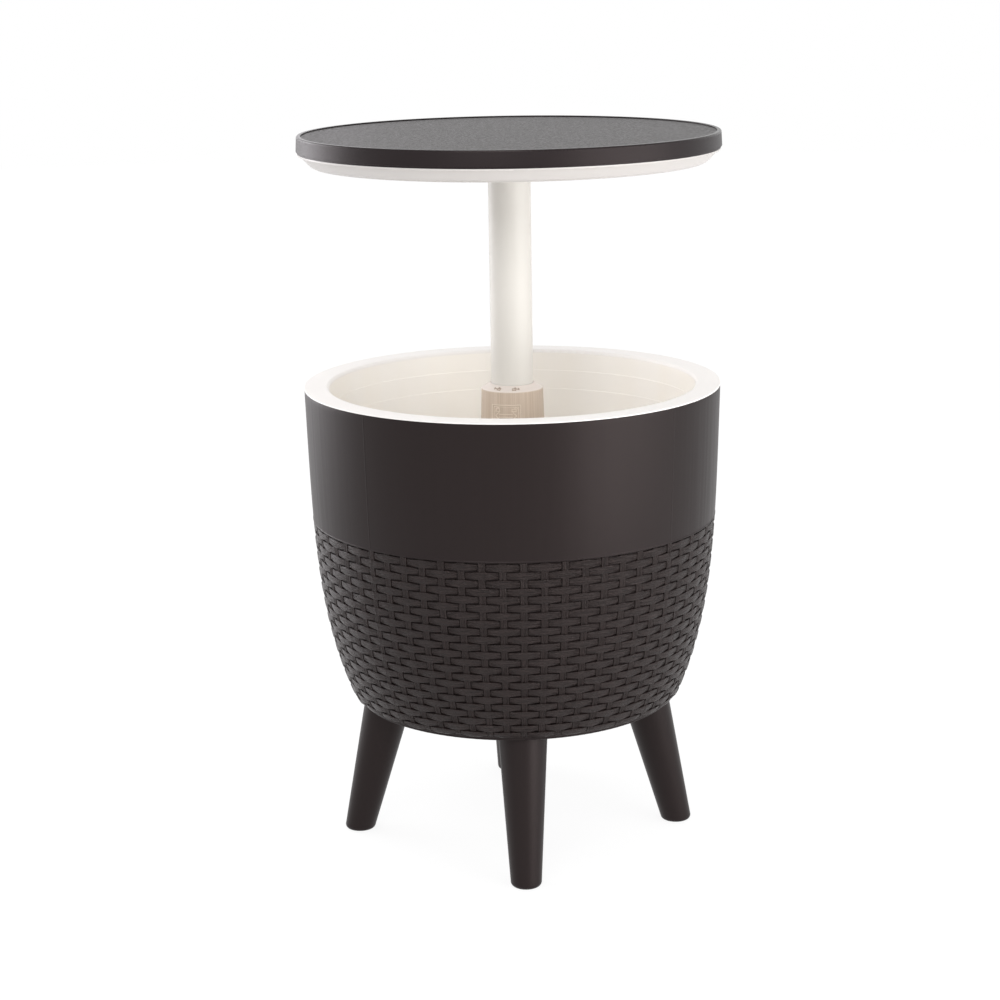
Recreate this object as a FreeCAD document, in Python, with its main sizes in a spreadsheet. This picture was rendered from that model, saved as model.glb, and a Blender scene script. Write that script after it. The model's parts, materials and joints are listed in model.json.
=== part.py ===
import FreeCAD, Part
import math
import os
import Sketcher
from FreeCAD import Placement, Rotation, Vector

# Ice bucket coffee table, raised for use as a bar table.
# A dark moulded tub on four splayed legs holds a pale liner for ice.
# A round lid is the table top: it rises on a post out of the liner's column and is twisted to lock.
# Frame: millimetres, +Z up, origin on the floor under the post, front leg towards -Y.

doc = FreeCAD.newDocument("ice_bucket_table")

# Driving sizes: each is set by itself.

sheet = doc.addObject("Spreadsheet::Sheet", "Dim")

DRIVING = [
    ("table_height", 840, "floor to the lid's lip, table raised"),
    ("lid_draft", 1, "how far the lid's side draws in towards the top"),
    ("lid_side", 19.5, "height of the lid's side"),
    ("lid_round", 1.8, "rounding of the lid's upper edge"),
    ("lid_plate", 3.5, "thickness of the lid's top plate"),
    ("lid_wall", 3, "thickness of the lid's side"),
    ("lip_width", 5, "raised lip round the table surface"),
    ("lip_rise", 1.5, "height of that lip"),
    ("lip_round", 0.6, "rounding of that lip's inner edge and of the side's lower edge"),
    ("shadow_height", 2, "height of the shadow gap at the foot of the lid's side"),
    ("shadow_depth", 1.5, "depth of that gap"),
    ("lid_rib_count", 8, "radial ribs under the table surface"),
    ("lid_rib_width", 2.5, "width of a rib"),
    ("lid_boss_circle", 150, "radius of the circle of lid screws"),
    ("lid_boss_radius", 6, "outer radius of a lid screw boss"),
    ("lid_screw_count", 8, "screws that hold the under cover"),
    ("screw_radius", 2, "shank radius of the self-tapping screws"),
    ("screw_head_radius", 4.2, "head radius of those screws"),
    ("screw_head", 2, "head height of those screws"),
    ("screw_bite", 12, "how deep those screws go into their bosses"),
    ("dish_drop", 15.8, "depth of the white under cover below the lid's edge"),
    ("dish_wall", 3, "thickness of the under cover"),
    ("dish_lip_inset", 1.6, "under cover's lip, in from the lid's edge"),
    ("dish_lip", 2.2, "thickness of that lip"),
    ("dish_lip_width", 2.4, "width of that lip"),
    ("dish_slope", 13, "how far the under cover's side draws in downwards"),
    ("dish_round", 9, "rounding of the under cover's lower edge"),
    ("dish_register", 4, "height of the under cover's ring inside the lid's side"),
    ("recess_radius", 62, "recess in the under cover for the post's flange"),
    ("recess_depth", 8, "depth of that recess"),
    ("post_radius", 24.5, "outer radius of the telescopic post"),
    ("post_wall", 2.5, "wall of the post"),
    ("post_overlap", 73, "post's lower end below the column's top, table raised"),
    ("post_top_gap", 5, "post's upper end below the lid's plate"),
    ("hub_wall", 5.4, "wall of the flange's hub round the post"),
    ("hub_top_gap", 3, "hub's upper end below the lid's plate"),
    ("flange_radius", 56, "radius of the post's head flange"),
    ("flange_inset", 1, "flange's face, up from the under cover's lower face"),
    ("flange_boss_circle", 45, "radius of the circle of flange screws"),
    ("flange_boss_radius", 7, "outer radius of a flange screw boss"),
    ("flange_screw_count", 4, "screws that hold the post's flange"),
    ("flange_screw_radius", 2.5, "shank radius of the flange screws"),
    ("flange_screw_head_radius", 5, "head radius of the flange screws"),
    ("flange_screw_head", 3, "head height of the flange screws"),
    ("flange_screw_length", 21, "length of the flange screws under the head"),
    ("cross_pin_radius", 3, "steel pin through hub and post"),
    ("cross_pin_drop", 13, "that pin's axis below the lid's plate"),
    ("plug_pin_radius", 2, "steel pin through post and cam plug"),
    ("plug_pin_rise", 13, "that pin's axis above the post's lower end"),
    ("plug_length", 25, "cam plug's length inside the post"),
    ("plug_flange", 4, "flange of the cam plug under the post's end"),
    ("cam_radius", 15, "radius of the eccentric cam"),
    ("cam_offset", 2, "how far the cam is off the post's axis"),
    ("lock_ring_height", 23.7, "height of the split lock ring"),
    ("lock_ring_gap", 3, "split in the lock ring"),
    ("cam_clearance", 0.4, "between the cam's reach and the lock ring"),
    ("carrier_height", 6.7, "height of the carrier under the lock ring"),
    ("carrier_inset", 0.4, "carrier's edge, in from the lock ring's edge"),
    ("journal_radius", 9, "radius of the cam plug's journal in the carrier"),
    ("peg_count", 2, "pegs on the ring carrier"),
    ("peg_radius", 2.5, "carrier's pegs in the lock ring"),
    ("peg_height", 5, "height of those pegs"),
    ("washer_radius", 14, "radius of the retaining washer"),
    ("washer_thickness", 1.5, "thickness of the retaining washer"),
    ("lock_screw_radius", 3, "shank radius of the retaining screw"),
    ("lock_screw_head_radius", 5.5, "head radius of the retaining screw"),
    ("lock_screw_head", 4, "head height of the retaining screw"),
    ("lock_screw_length", 22, "length of the retaining screw under its head"),
    ("rim_height", 550.4, "floor to the tub's rim"),
    ("tub_radius", 243, "outer radius of the rim"),
    ("rim_width", 29, "width of the flat rim"),
    ("rim_thickness", 4, "thickness of the rim between liner and skirt"),
    ("rim_edge", 1.4, "thickness of the rim's outer lip, which lies on the shell"),
    ("rim_outer_round", 1.1, "rounding of the rim's outer edge"),
    ("rim_inner_round", 4, "rounding of the rim's inner edge"),
    ("skirt_depth", 12, "register skirt under the rim"),
    ("skirt_wall", 2.5, "thickness of that skirt"),
    ("liner_wall", 3, "thickness of the liner"),
    ("liner_floor", 290, "floor to the liner's inner floor"),
    ("liner_draft", 2.2, "draft of the liner's side, degrees"),
    ("liner_corner", 20, "rounding at the foot of the liner's side"),
    ("step_first", 26, "first fill line, below the rim"),
    ("step_second", 49, "second fill line, below the rim"),
    ("step_inset", 0.8, "width of a fill line's ledge"),
    ("shell_inset", 0.3, "outer shell's top edge, in from the rim"),
    ("shell_wall", 3.5, "thickness of the outer shell"),
    ("shell_draft", 10, "how far the shell's side draws in evenly"),
    ("shell_belly", 38, "how far the shell rounds in further at its foot"),
    ("shell_round", 8, "rounding of the shell's lower edge"),
    ("shell_ledge", 11, "width of the shell's ledge that lies on the base plate"),
    ("shell_boss_radius", 4.7, "outer radius of a boss on that ledge"),
    ("shell_boss_height", 12, "height of those bosses"),
    ("base_height", 172.8, "floor to the base plate's lower face"),
    ("base_inset", 6.2, "base plate's edge, in from the shell's foot"),
    ("base_thickness", 4, "thickness of the base plate"),
    ("base_round", 1.2, "rounding of the base plate's edge"),
    ("base_register", 6, "height of the base plate's rings"),
    ("base_ring_wall", 3, "thickness of those rings"),
    ("base_screw_count", 8, "screws that hold the base plate"),
    ("leg_boss_radius", 14, "boss on the base plate over a leg"),
    ("leg_boss_height", 12, "height of that boss"),
    ("leg_top_radius", 28.7, "radius of a leg at the base plate"),
    ("leg_foot_radius", 17.6, "radius of a leg at the floor"),
    ("leg_inset", 36, "leg's centre at the base plate, in from the plate's edge"),
    ("leg_splay", 42, "how much further out a leg's centre is at the floor"),
    ("leg_foot_round", 5, "rounding of a leg's foot"),
    ("leg_bolt_radius", 4, "shank radius of a leg bolt"),
    ("leg_bolt_head", 5.3, "head height of a leg bolt"),
    ("leg_bolt_flats", 13, "width across a leg bolt's head"),
    ("leg_bolt_length", 45, "length of a leg bolt under its head"),
    ("leg_washer_radius", 8, "radius of a leg bolt's washer"),
    ("leg_washer_thickness", 1.6, "thickness of that washer"),
    ("leg_insert_radius", 6, "radius of the threaded insert in a leg"),
    ("leg_insert_length", 28, "length of that insert"),
    ("collar_drop", 1.2, "column's upper end below the rim"),
    ("collar_radius", 36, "radius of the column's collar"),
    ("collar_crown", 5.6, "rise of the collar's sloping top"),
    ("collar_mouth", 26, "radius at the top of that slope"),
    ("collar_round", 1.5, "rounding of the collar's edge"),
    ("collar_cap", 2, "collar's thickness over the bush"),
    ("collar_pocket", 34, "depth of the collar's pocket for bush and tube"),
    ("column_foot_radius", 43.5, "radius of the column at the liner's floor"),
    ("column_wall", 3, "wall of the column"),
    ("column_flange_radius", 58, "radius of the column's foot flange"),
    ("column_flange", 5, "thickness of the foot flange"),
    ("column_boss_circle", 51, "radius of the circle of column screws"),
    ("column_boss_radius", 5, "outer radius of a boss on the foot flange"),
    ("column_boss_height", 9, "height of those bosses"),
    ("column_screw_count", 4, "screws that hold the column"),
    ("column_hole", 33, "hole in the liner's floor under the column"),
    ("seal_thickness", 1.5, "rubber seals on the liner's floor"),
    ("bush_height", 12, "height of the guide bush"),
    ("tube_wall", 1.9, "wall of the guide tube"),
    ("tube_gap", 2.55, "between post and guide tube"),
    ("drain_circle", 120, "drain's centre from the post's axis"),
    ("drain_angle", 45, "drain's direction, degrees from +X"),
    ("drain_bore", 10, "radius of the drain's bore"),
    ("drain_wall", 3, "wall of the drain fitting"),
    ("drain_flange_radius", 20, "radius of the fitting's flange"),
    ("drain_flange", 2, "thickness of that flange"),
    ("drain_nut_height", 6, "height of the drain nut"),
    ("drain_nut_flats", 34, "width across the drain nut"),
    ("drain_foot", 1, "fitting's lower end above the base plate's lower face"),
    ("plug_head_radius", 16, "radius of the drain plug's head"),
    ("plug_head", 4, "thickness of the drain plug's head"),
    ("plug_stem", 20, "length of the drain plug's stem"),
    ("plug_tab_height", 7, "height of the drain plug's finger tab"),
    ("plug_tab_width", 16, "width of that tab"),
    ("plug_tab_thickness", 3, "thickness of that tab"),
    ("running_fit", 0.08, "radial clearance of sliding and turning fits"),
    ("hole_spare", 1, "how far a blind hole runs past what it takes"),
    ("hole_gap", 0.1, "radial clearance of screws, pins and plugs that stay put"),
    ("seat_gap", 0.3, "gap between faces of pieces that part or turn"),
    ("register_gap", 0.3, "radial gap of rings that only locate"),
]

# Places worked out from the driving sizes.

DERIVED = [
    ("lid_radius", "tub_radius"),
    ("lid_face", "table_height - lip_rise"),
    ("lid_under", "lid_face - lid_plate"),
    ("lid_edge", "table_height - lid_side"),
    ("dish_bottom", "lid_edge - dish_drop"),
    ("dish_lip_radius", "lid_radius - dish_lip_inset"),
    ("dish_side_radius", "dish_lip_radius - dish_lip_width"),
    ("dish_bottom_radius", "dish_side_radius - dish_slope"),
    ("register_radius", "lid_radius - lid_wall - lid_draft - register_gap"),
    ("recess_roof", "dish_bottom + recess_depth"),
    ("post_top", "lid_under - post_top_gap"),
    ("post_foot", "rim_height - collar_drop - post_overlap"),
    ("post_bore", "post_radius - post_wall"),
    ("hub_bore", "post_radius + hole_gap"),
    ("hub_radius", "hub_bore + hub_wall"),
    ("flange_face", "dish_bottom + flange_inset"),
    ("cam_top", "post_foot - plug_flange"),
    ("ring_top", "cam_top - seat_gap"),
    ("ring_foot", "ring_top - lock_ring_height"),
    ("carrier_foot", "ring_foot - carrier_height"),
    ("journal_foot", "carrier_foot - seat_gap"),
    ("washer_foot", "journal_foot - washer_thickness"),
    ("tube_bore", "post_radius + tube_gap"),
    ("tube_radius", "tube_bore + tube_wall"),
    ("ring_radius", "tube_bore - running_fit"),
    ("ring_bore", "cam_radius + cam_offset + cam_clearance"),
    ("peg_circle", "(ring_radius + ring_bore) / 2"),
    ("mouth_radius", "tub_radius - rim_width"),
    ("rim_under", "rim_height - rim_edge"),
    ("liner_under", "liner_floor - liner_wall"),
    ("shell_radius", "tub_radius - shell_inset"),
    ("base_top", "base_height + base_thickness"),
    ("base_radius", "shell_radius - shell_draft - shell_belly - base_inset"),
    ("shell_return", "base_radius - shell_ledge"),
    ("base_screw_circle", "shell_return + shell_boss_radius + register_gap"),
    ("leg_top_circle", "base_radius - leg_inset"),
    ("leg_foot_circle", "leg_top_circle + leg_splay"),
    ("column_top", "rim_height - collar_drop"),
    ("column_foot", "liner_floor + seal_thickness"),
    ("pocket_radius", "tube_radius + hole_gap"),
    ("bush_top", "column_top - collar_cap"),
    ("tube_top", "bush_top - bush_height"),
    ("drain_radius", "drain_bore + drain_wall"),
    ("fitting_foot", "base_height + drain_foot"),
    ("leg_lean", "atan(leg_splay / base_height)"),
    ("leg_axis", "sqrt(leg_splay ^ 2 + base_height ^ 2)"),
    ("leg_taper", "(leg_top_radius - leg_foot_radius) / leg_axis"),
]


def fill_sheet():
    """Write the driving sizes and the places worked out from them."""
    for row, (alias, value, note) in enumerate(DRIVING, start=1):
        sheet.set(f"A{row}", note)
        sheet.set(f"B{row}", str(value))
        sheet.setAlias(f"B{row}", alias)
    for row, (alias, formula) in enumerate(DERIVED, start=len(DRIVING) + 1):
        sheet.set(f"B{row}", "=" + formula)
        sheet.setAlias(f"B{row}", alias)
    doc.recompute()


fill_sheet()

pieces = []


def value(expression):
    """A number worked out from an expression on the sheet."""
    result = sheet.evalExpression(expression)
    return float(getattr(result, "Value", result))


def origin_part(body, role):
    """One of a body's own origin planes or axes."""
    return next(item for item in body.Origin.OriginFeatures if item.Role == role)


def bind(item, links):
    """Bind properties of an object to expressions on the sheet."""
    for name, expression in links.items():
        item.setExpression(name, str(expression))


def place(item, across="0", along="0", up="0"):
    """Bind the place of an object that isn't attached to anything."""
    bind(item, {"Placement.Base.x": across, "Placement.Base.y": along, "Placement.Base.z": up})


def new_body(label):
    """A body that is one of the table's pieces."""
    body = doc.addObject("PartDesign::Body", label)
    body.Label = label
    pieces.append(body)
    return body


def sketch_on(body, name, role, height="0"):
    """A sketch on an origin plane of its body, raised by height."""
    sketch = body.newObject("Sketcher::SketchObject", name)
    sketch.AttachmentSupport = [(origin_part(body, role), "")]
    sketch.MapMode = "FlatFace"
    sketch.setExpression("AttachmentOffset.Base.z", height)
    return sketch


def pin_point(sketch, geometry, point, across, up, name):
    """Hold one point of a sketch at a place given by two expressions."""
    for kind, axis, expression, letter in (("DistanceX", -2, across, "x"), ("DistanceY", -1, up, "y")):
        distance = value(expression)
        if abs(distance) < 1e-9:
            sketch.addConstraint(Sketcher.Constraint("PointOnObject", geometry, point, axis))
            continue
        index = sketch.addConstraint(Sketcher.Constraint(kind, -1, 1, geometry, point, distance))
        sketch.renameConstraint(index, name + letter)
        sketch.setExpression("Constraints." + name + letter, expression)


def draw_outline(sketch, corners):
    """A closed outline of straight sides through corners given as expressions."""
    points = [Vector(value(across), value(up), 0) for across, up in corners]
    lines = [Part.LineSegment(a, b) for a, b in zip(points, points[1:] + points[:1])]
    sketch.addGeometry(lines, False)
    count = len(lines)
    for index in range(count):
        sketch.addConstraint(Sketcher.Constraint("Coincident", index, 2, (index + 1) % count, 1))
    for index, (across, up) in enumerate(corners):
        pin_point(sketch, index, 1, across, up, f"corner{index}")


def turned(label, corners):
    """A piece turned about the upright axis from an outline of (radius, height) corners."""
    body = new_body(label)
    sketch = sketch_on(body, label + "_outline", "XZ_Plane")
    draw_outline(sketch, corners)
    turn = body.newObject("PartDesign::Revolution", label + "_turn")
    turn.Profile = sketch
    turn.ReferenceAxis = (sketch, ["V_Axis"])
    turn.Angle = 360
    body.Tip = turn
    doc.recompute()
    return body


def round_edges(body, radius, places):
    """Round the circular edges at the given (radius, height) places."""
    base = body.Tip
    wanted = [(value(across), value(up)) for across, up in places]
    names = []
    for index, edge in enumerate(base.Shape.Edges, start=1):
        curve = edge.Curve
        if not hasattr(curve, "Radius"):
            continue
        if any(abs(curve.Radius - r) < 0.01 and abs(curve.Center.z - z) < 0.01 for r, z in wanted):
            names.append(f"Edge{index}")
    fillet = body.newObject("PartDesign::Fillet", body.Label + "_round")
    fillet.Base = (base, names)
    fillet.setExpression("Radius", radius)
    body.Tip = fillet
    doc.recompute()


def primitive(body, kind, name, sizes, across="0", along="0", up="0", turn=None):
    """Add or cut a simple solid of a body, placed from the body's origin."""
    item = body.newObject("PartDesign::" + kind, name)
    item.AttachmentSupport = [(origin_part(body, "XY_Plane"), "")]
    item.MapMode = "FlatFace"
    if turn is not None:
        item.AttachmentOffset = Placement(Vector(), turn)
    bind(item, sizes)
    bind(item, {"AttachmentOffset.Base.x": across, "AttachmentOffset.Base.y": along,
                "AttachmentOffset.Base.z": up})
    body.Tip = item
    doc.recompute()
    return item


def repeat_round(body, features, count):
    """Repeat features evenly about the upright axis."""
    ring = body.newObject("PartDesign::PolarPattern", features[0].Name + "_ring")
    ring.Originals = features
    ring.Axis = (origin_part(body, "Z_Axis"), [""])
    ring.Angle = 360
    ring.setExpression("Occurrences", count)
    body.Tip = ring
    doc.recompute()


def on_circle(circle, angle):
    """Expressions for a point on a circle about the upright axis."""
    return f"({circle}) * cos(({angle}) * 1 deg)", f"({circle}) * sin(({angle}) * 1 deg)"


def cylinder(name, radius, height, across="0", along="0", up="0"):
    """A plain upright cylinder, used to build up other pieces."""
    item = doc.addObject("Part::Cylinder", name)
    bind(item, {"Radius": radius, "Height": height})
    place(item, across, along, up)
    return item


def joined(name, items):
    """Several solids made into one."""
    item = doc.addObject("Part::MultiFuse", name)
    item.Shapes = items
    return item


def less(name, base, tool):
    """One solid with another cut out of it."""
    item = doc.addObject("Part::Cut", name)
    item.Base = base
    item.Tool = tool
    return item


def piece(item, label):
    """Name an object as one of the table's pieces."""
    item.Label = label
    pieces.append(item)
    return item


def group(label, items):
    """Identical fasteners kept in one node as separate solids."""
    item = doc.addObject("Part::Compound", label)
    item.Links = items
    return piece(item, label)


def screws(label, count, circle, start, head_foot, head_radius, head, shank_radius, shank):
    """Round-headed screws on a circle, put in from below."""
    items = []
    for index in range(int(value(count))):
        across, along = on_circle(circle, f"{start} + 360 * {index} / {count}")
        top = cylinder(f"{label}_head{index}", head_radius, head, across, along, head_foot)
        stem = cylinder(f"{label}_shank{index}", shank_radius, f"{head} + {shank}",
                        across, along, head_foot)
        items.append(joined(f"{label}_{index}", [top, stem]))
    return group(label, items)


# The lid: table top, white under cover and their screws.

LID_SCREW_START = "180 / Dim.lid_screw_count"
FLANGE_SCREW_START = "90 / Dim.flange_screw_count"
COLUMN_SCREW_START = "180 / Dim.column_screw_count"
BASE_SCREW_START = "180 / Dim.base_screw_count"


def table_top_cover():
    """Dark table top with a raised lip, ribs and screw bosses beneath."""
    locate = "Dim.hub_radius + Dim.register_gap"
    locate_out = locate + " + Dim.lid_wall"
    locate_foot = "Dim.recess_roof + Dim.dish_wall + Dim.seat_gap"
    lip_inside = "Dim.lid_radius - Dim.lid_draft - Dim.lip_width"
    rib_foot = "Dim.lid_edge + Dim.dish_register + Dim.seat_gap"
    side_foot = "Dim.lid_edge + Dim.shadow_height"
    body = turned("table_top_cover", [
        ("0", "Dim.lid_under"),
        (locate, "Dim.lid_under"),
        (locate, locate_foot),
        (locate_out, locate_foot),
        (locate_out, "Dim.lid_under"),
        ("Dim.lid_radius - Dim.lid_draft - Dim.lid_wall", "Dim.lid_under"),
        ("Dim.lid_radius - Dim.lid_wall", "Dim.lid_edge"),
        ("Dim.lid_radius - Dim.shadow_depth", "Dim.lid_edge"),
        ("Dim.lid_radius - Dim.shadow_depth", side_foot),
        ("Dim.lid_radius", side_foot),
        ("Dim.lid_radius - Dim.lid_draft", "Dim.table_height"),
        (lip_inside, "Dim.table_height"),
        (lip_inside, "Dim.lid_face"),
        ("0", "Dim.lid_face"),
    ])
    round_edges(body, "Dim.lid_round", [("Dim.lid_radius - Dim.lid_draft", "Dim.table_height")])
    round_edges(body, "Dim.lip_round", [(lip_inside, "Dim.table_height"), ("Dim.lid_radius", side_foot)])
    rib = primitive(body, "AdditiveBox", "lid_rib", {
        "Length": "Dim.lid_radius - Dim.lid_wall - Dim.lid_draft - (" + locate + ")",
        "Width": "Dim.lid_rib_width",
        "Height": "Dim.lid_under + Dim.lid_plate / 2 - (" + rib_foot + ")",
    }, locate + " + Dim.lid_wall / 2", "-Dim.lid_rib_width / 2", rib_foot)
    repeat_round(body, [rib], "Dim.lid_rib_count")
    seat = "Dim.dish_bottom + Dim.dish_wall"
    across, along = on_circle("Dim.lid_boss_circle", LID_SCREW_START)
    boss = primitive(body, "AdditiveCylinder", "lid_boss", {
        "Radius": "Dim.lid_boss_radius",
        "Height": "Dim.lid_face - Dim.lid_plate / 2 - (" + seat + ")",
    }, across, along, seat)
    pilot = primitive(body, "SubtractiveCylinder", "lid_boss_pilot", {
        "Radius": "Dim.screw_radius + Dim.hole_gap / 2",
        "Height": "Dim.screw_bite + Dim.hole_spare",
    }, across, along, seat)
    repeat_round(body, [boss, pilot], "Dim.lid_screw_count")
    seat = "Dim.recess_roof + Dim.dish_wall"
    across, along = on_circle("Dim.flange_boss_circle", FLANGE_SCREW_START)
    boss = primitive(body, "AdditiveCylinder", "flange_boss", {
        "Radius": "Dim.flange_boss_radius",
        "Height": "Dim.lid_face - Dim.lid_plate / 2 - (" + seat + ")",
    }, across, along, seat)
    pilot = primitive(body, "SubtractiveCylinder", "flange_boss_pilot", {
        "Radius": "Dim.flange_screw_radius + Dim.hole_gap / 2",
        "Height": "Dim.lid_under - (" + seat + ") - Dim.hole_spare",
    }, across, along, seat)
    repeat_round(body, [boss, pilot], "Dim.flange_screw_count")


def lid_under_cover():
    """White dish under the table top, with a recess for the post's flange."""
    hole = "Dim.hub_radius + Dim.register_gap"
    floor = "Dim.dish_bottom + Dim.dish_wall"
    lip_under = "Dim.lid_edge - Dim.dish_lip"
    ring_top = "Dim.lid_edge + Dim.dish_register"
    body = turned("lid_under_cover", [
        (hole, "Dim.recess_roof"),
        ("Dim.recess_radius - Dim.dish_wall", "Dim.recess_roof"),
        ("Dim.recess_radius", "Dim.dish_bottom"),
        ("Dim.dish_bottom_radius", "Dim.dish_bottom"),
        ("Dim.dish_side_radius", lip_under),
        ("Dim.dish_lip_radius", lip_under),
        ("Dim.dish_lip_radius", "Dim.lid_edge"),
        ("Dim.register_radius", "Dim.lid_edge"),
        ("Dim.register_radius", ring_top),
        ("Dim.register_radius - Dim.dish_wall", ring_top),
        ("Dim.dish_side_radius - Dim.dish_wall", "Dim.lid_edge"),
        ("Dim.dish_bottom_radius - Dim.dish_wall", floor),
        ("Dim.recess_radius + Dim.dish_wall", floor),
        ("Dim.recess_radius", "Dim.recess_roof + Dim.dish_wall"),
        (hole, "Dim.recess_roof + Dim.dish_wall"),
    ])
    round_edges(body, "Dim.lip_round", [("Dim.dish_lip_radius", lip_under)])
    round_edges(body, "Dim.dish_round", [("Dim.dish_bottom_radius", "Dim.dish_bottom")])
    round_edges(body, "Dim.dish_round - Dim.dish_wall",
                [("Dim.dish_bottom_radius - Dim.dish_wall", floor)])
    across, along = on_circle("Dim.lid_boss_circle", LID_SCREW_START)
    bore = primitive(body, "SubtractiveCylinder", "lid_screw_hole", {
        "Radius": "Dim.screw_radius + Dim.hole_gap", "Height": "Dim.dish_wall",
    }, across, along, "Dim.dish_bottom")
    repeat_round(body, [bore], "Dim.lid_screw_count")
    across, along = on_circle("Dim.flange_boss_circle", FLANGE_SCREW_START)
    bore = primitive(body, "SubtractiveCylinder", "flange_screw_hole", {
        "Radius": "Dim.flange_screw_radius + Dim.hole_gap", "Height": "Dim.dish_wall",
    }, across, along, "Dim.recess_roof")
    repeat_round(body, [bore], "Dim.flange_screw_count")


def post_head_flange():
    """White flange whose hub takes the post's upper end."""
    body = turned("post_head_flange", [
        ("Dim.hub_bore", "Dim.flange_face"),
        ("Dim.flange_radius", "Dim.flange_face"),
        ("Dim.flange_radius", "Dim.recess_roof"),
        ("Dim.hub_radius", "Dim.recess_roof"),
        ("Dim.hub_radius", "Dim.lid_under - Dim.hub_top_gap"),
        ("Dim.hub_bore", "Dim.lid_under - Dim.hub_top_gap"),
    ])
    across, along = on_circle("Dim.flange_boss_circle", FLANGE_SCREW_START)
    bore = primitive(body, "SubtractiveCylinder", "flange_bore", {
        "Radius": "Dim.flange_screw_radius + Dim.hole_gap",
        "Height": "Dim.recess_roof - Dim.flange_face",
    }, across, along, "Dim.flange_face")
    sink = primitive(body, "SubtractiveCylinder", "flange_sink", {
        "Radius": "Dim.flange_screw_head_radius + Dim.hole_gap", "Height": "Dim.flange_screw_head",
    }, across, along, "Dim.flange_face")
    repeat_round(body, [bore, sink], "Dim.flange_screw_count")
    cross_hole(body, "hub_pin_hole", "Dim.cross_pin_radius", "Dim.hub_radius",
               "Dim.lid_under - Dim.cross_pin_drop")


def cross_hole(body, name, radius, reach, height):
    """A hole right through a tubular piece along X."""
    primitive(body, "SubtractiveCylinder", name, {
        "Radius": radius + " + Dim.hole_gap / 2", "Height": "2 * (" + reach + " + Dim.hole_spare)",
    }, "-(" + reach + " + Dim.hole_spare)", "0", height, Rotation(Vector(0, 1, 0), 90))


def cross_pin(label, radius, reach, height):
    """A steel pin along X."""
    pin = cylinder(label, radius, "2 * (" + reach + ")", "-(" + reach + ")", "0", height)
    pin.Placement.Rotation = Rotation(Vector(0, 1, 0), 90)
    piece(pin, label)


# The post and the twist lock at its lower end.


def post_tube():
    """White telescopic post."""
    body = turned("post_tube", [
        ("Dim.post_bore", "Dim.post_foot"),
        ("Dim.post_radius", "Dim.post_foot"),
        ("Dim.post_radius", "Dim.post_top"),
        ("Dim.post_bore", "Dim.post_top"),
    ])
    cross_hole(body, "post_pin_hole", "Dim.cross_pin_radius", "Dim.post_radius",
               "Dim.lid_under - Dim.cross_pin_drop")
    cross_hole(body, "post_plug_hole", "Dim.plug_pin_radius", "Dim.post_radius",
               "Dim.post_foot + Dim.plug_pin_rise")


def cam_plug():
    """Plug in the post's lower end, with the eccentric cam that spreads the lock ring."""
    body = turned("cam_plug", [
        ("0", "Dim.journal_foot"),
        ("Dim.journal_radius", "Dim.journal_foot"),
        ("Dim.journal_radius", "Dim.cam_top"),
        ("Dim.post_radius", "Dim.cam_top"),
        ("Dim.post_radius", "Dim.post_foot"),
        ("Dim.post_bore - Dim.hole_gap", "Dim.post_foot"),
        ("Dim.post_bore - Dim.hole_gap", "Dim.post_foot + Dim.plug_length"),
        ("0", "Dim.post_foot + Dim.plug_length"),
    ])
    primitive(body, "AdditiveCylinder", "cam_lobe", {
        "Radius": "Dim.cam_radius", "Height": "Dim.cam_top - Dim.ring_foot - Dim.seat_gap",
    }, "Dim.cam_offset", "0", "Dim.ring_foot + Dim.seat_gap")
    primitive(body, "SubtractiveCylinder", "cam_screw_hole", {
        "Radius": "Dim.lock_screw_radius + Dim.hole_gap / 2", "Height": "Dim.lock_screw_length",
    }, "0", "0", "Dim.journal_foot")
    cross_hole(body, "cam_pin_hole", "Dim.plug_pin_radius", "Dim.post_radius",
               "Dim.post_foot + Dim.plug_pin_rise")


def lock_ring():
    """Split ring that the cam presses against the guide tube."""
    body = turned("lock_ring", [
        ("Dim.ring_bore", "Dim.ring_foot"),
        ("Dim.ring_radius", "Dim.ring_foot"),
        ("Dim.ring_radius", "Dim.ring_top"),
        ("Dim.ring_bore", "Dim.ring_top"),
    ])
    primitive(body, "SubtractiveBox", "ring_split", {
        "Length": "Dim.ring_radius + Dim.hole_spare", "Width": "Dim.lock_ring_gap",
        "Height": "Dim.lock_ring_height",
    }, "-Dim.ring_radius - Dim.hole_spare", "-Dim.lock_ring_gap / 2", "Dim.ring_foot")
    hole = primitive(body, "SubtractiveCylinder", "ring_peg_hole", {
        "Radius": "Dim.peg_radius + Dim.hole_gap", "Height": "Dim.peg_height + Dim.hole_spare",
    }, "0", "Dim.peg_circle", "Dim.ring_foot")
    repeat_round(body, [hole], "Dim.peg_count")


def ring_carrier():
    """Disc under the lock ring, whose pegs keep the ring from turning."""
    edge = "Dim.ring_radius - Dim.carrier_inset"
    bore = "Dim.journal_radius + Dim.running_fit"
    body = turned("ring_carrier", [
        (bore, "Dim.carrier_foot"),
        (edge, "Dim.carrier_foot"),
        (edge, "Dim.ring_foot"),
        (bore, "Dim.ring_foot"),
    ])
    peg = primitive(body, "AdditiveCylinder", "carrier_peg", {
        "Radius": "Dim.peg_radius", "Height": "Dim.peg_height + Dim.carrier_height / 2",
    }, "0", "Dim.peg_circle", "Dim.ring_foot - Dim.carrier_height / 2")
    repeat_round(body, [peg], "Dim.peg_count")


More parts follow.
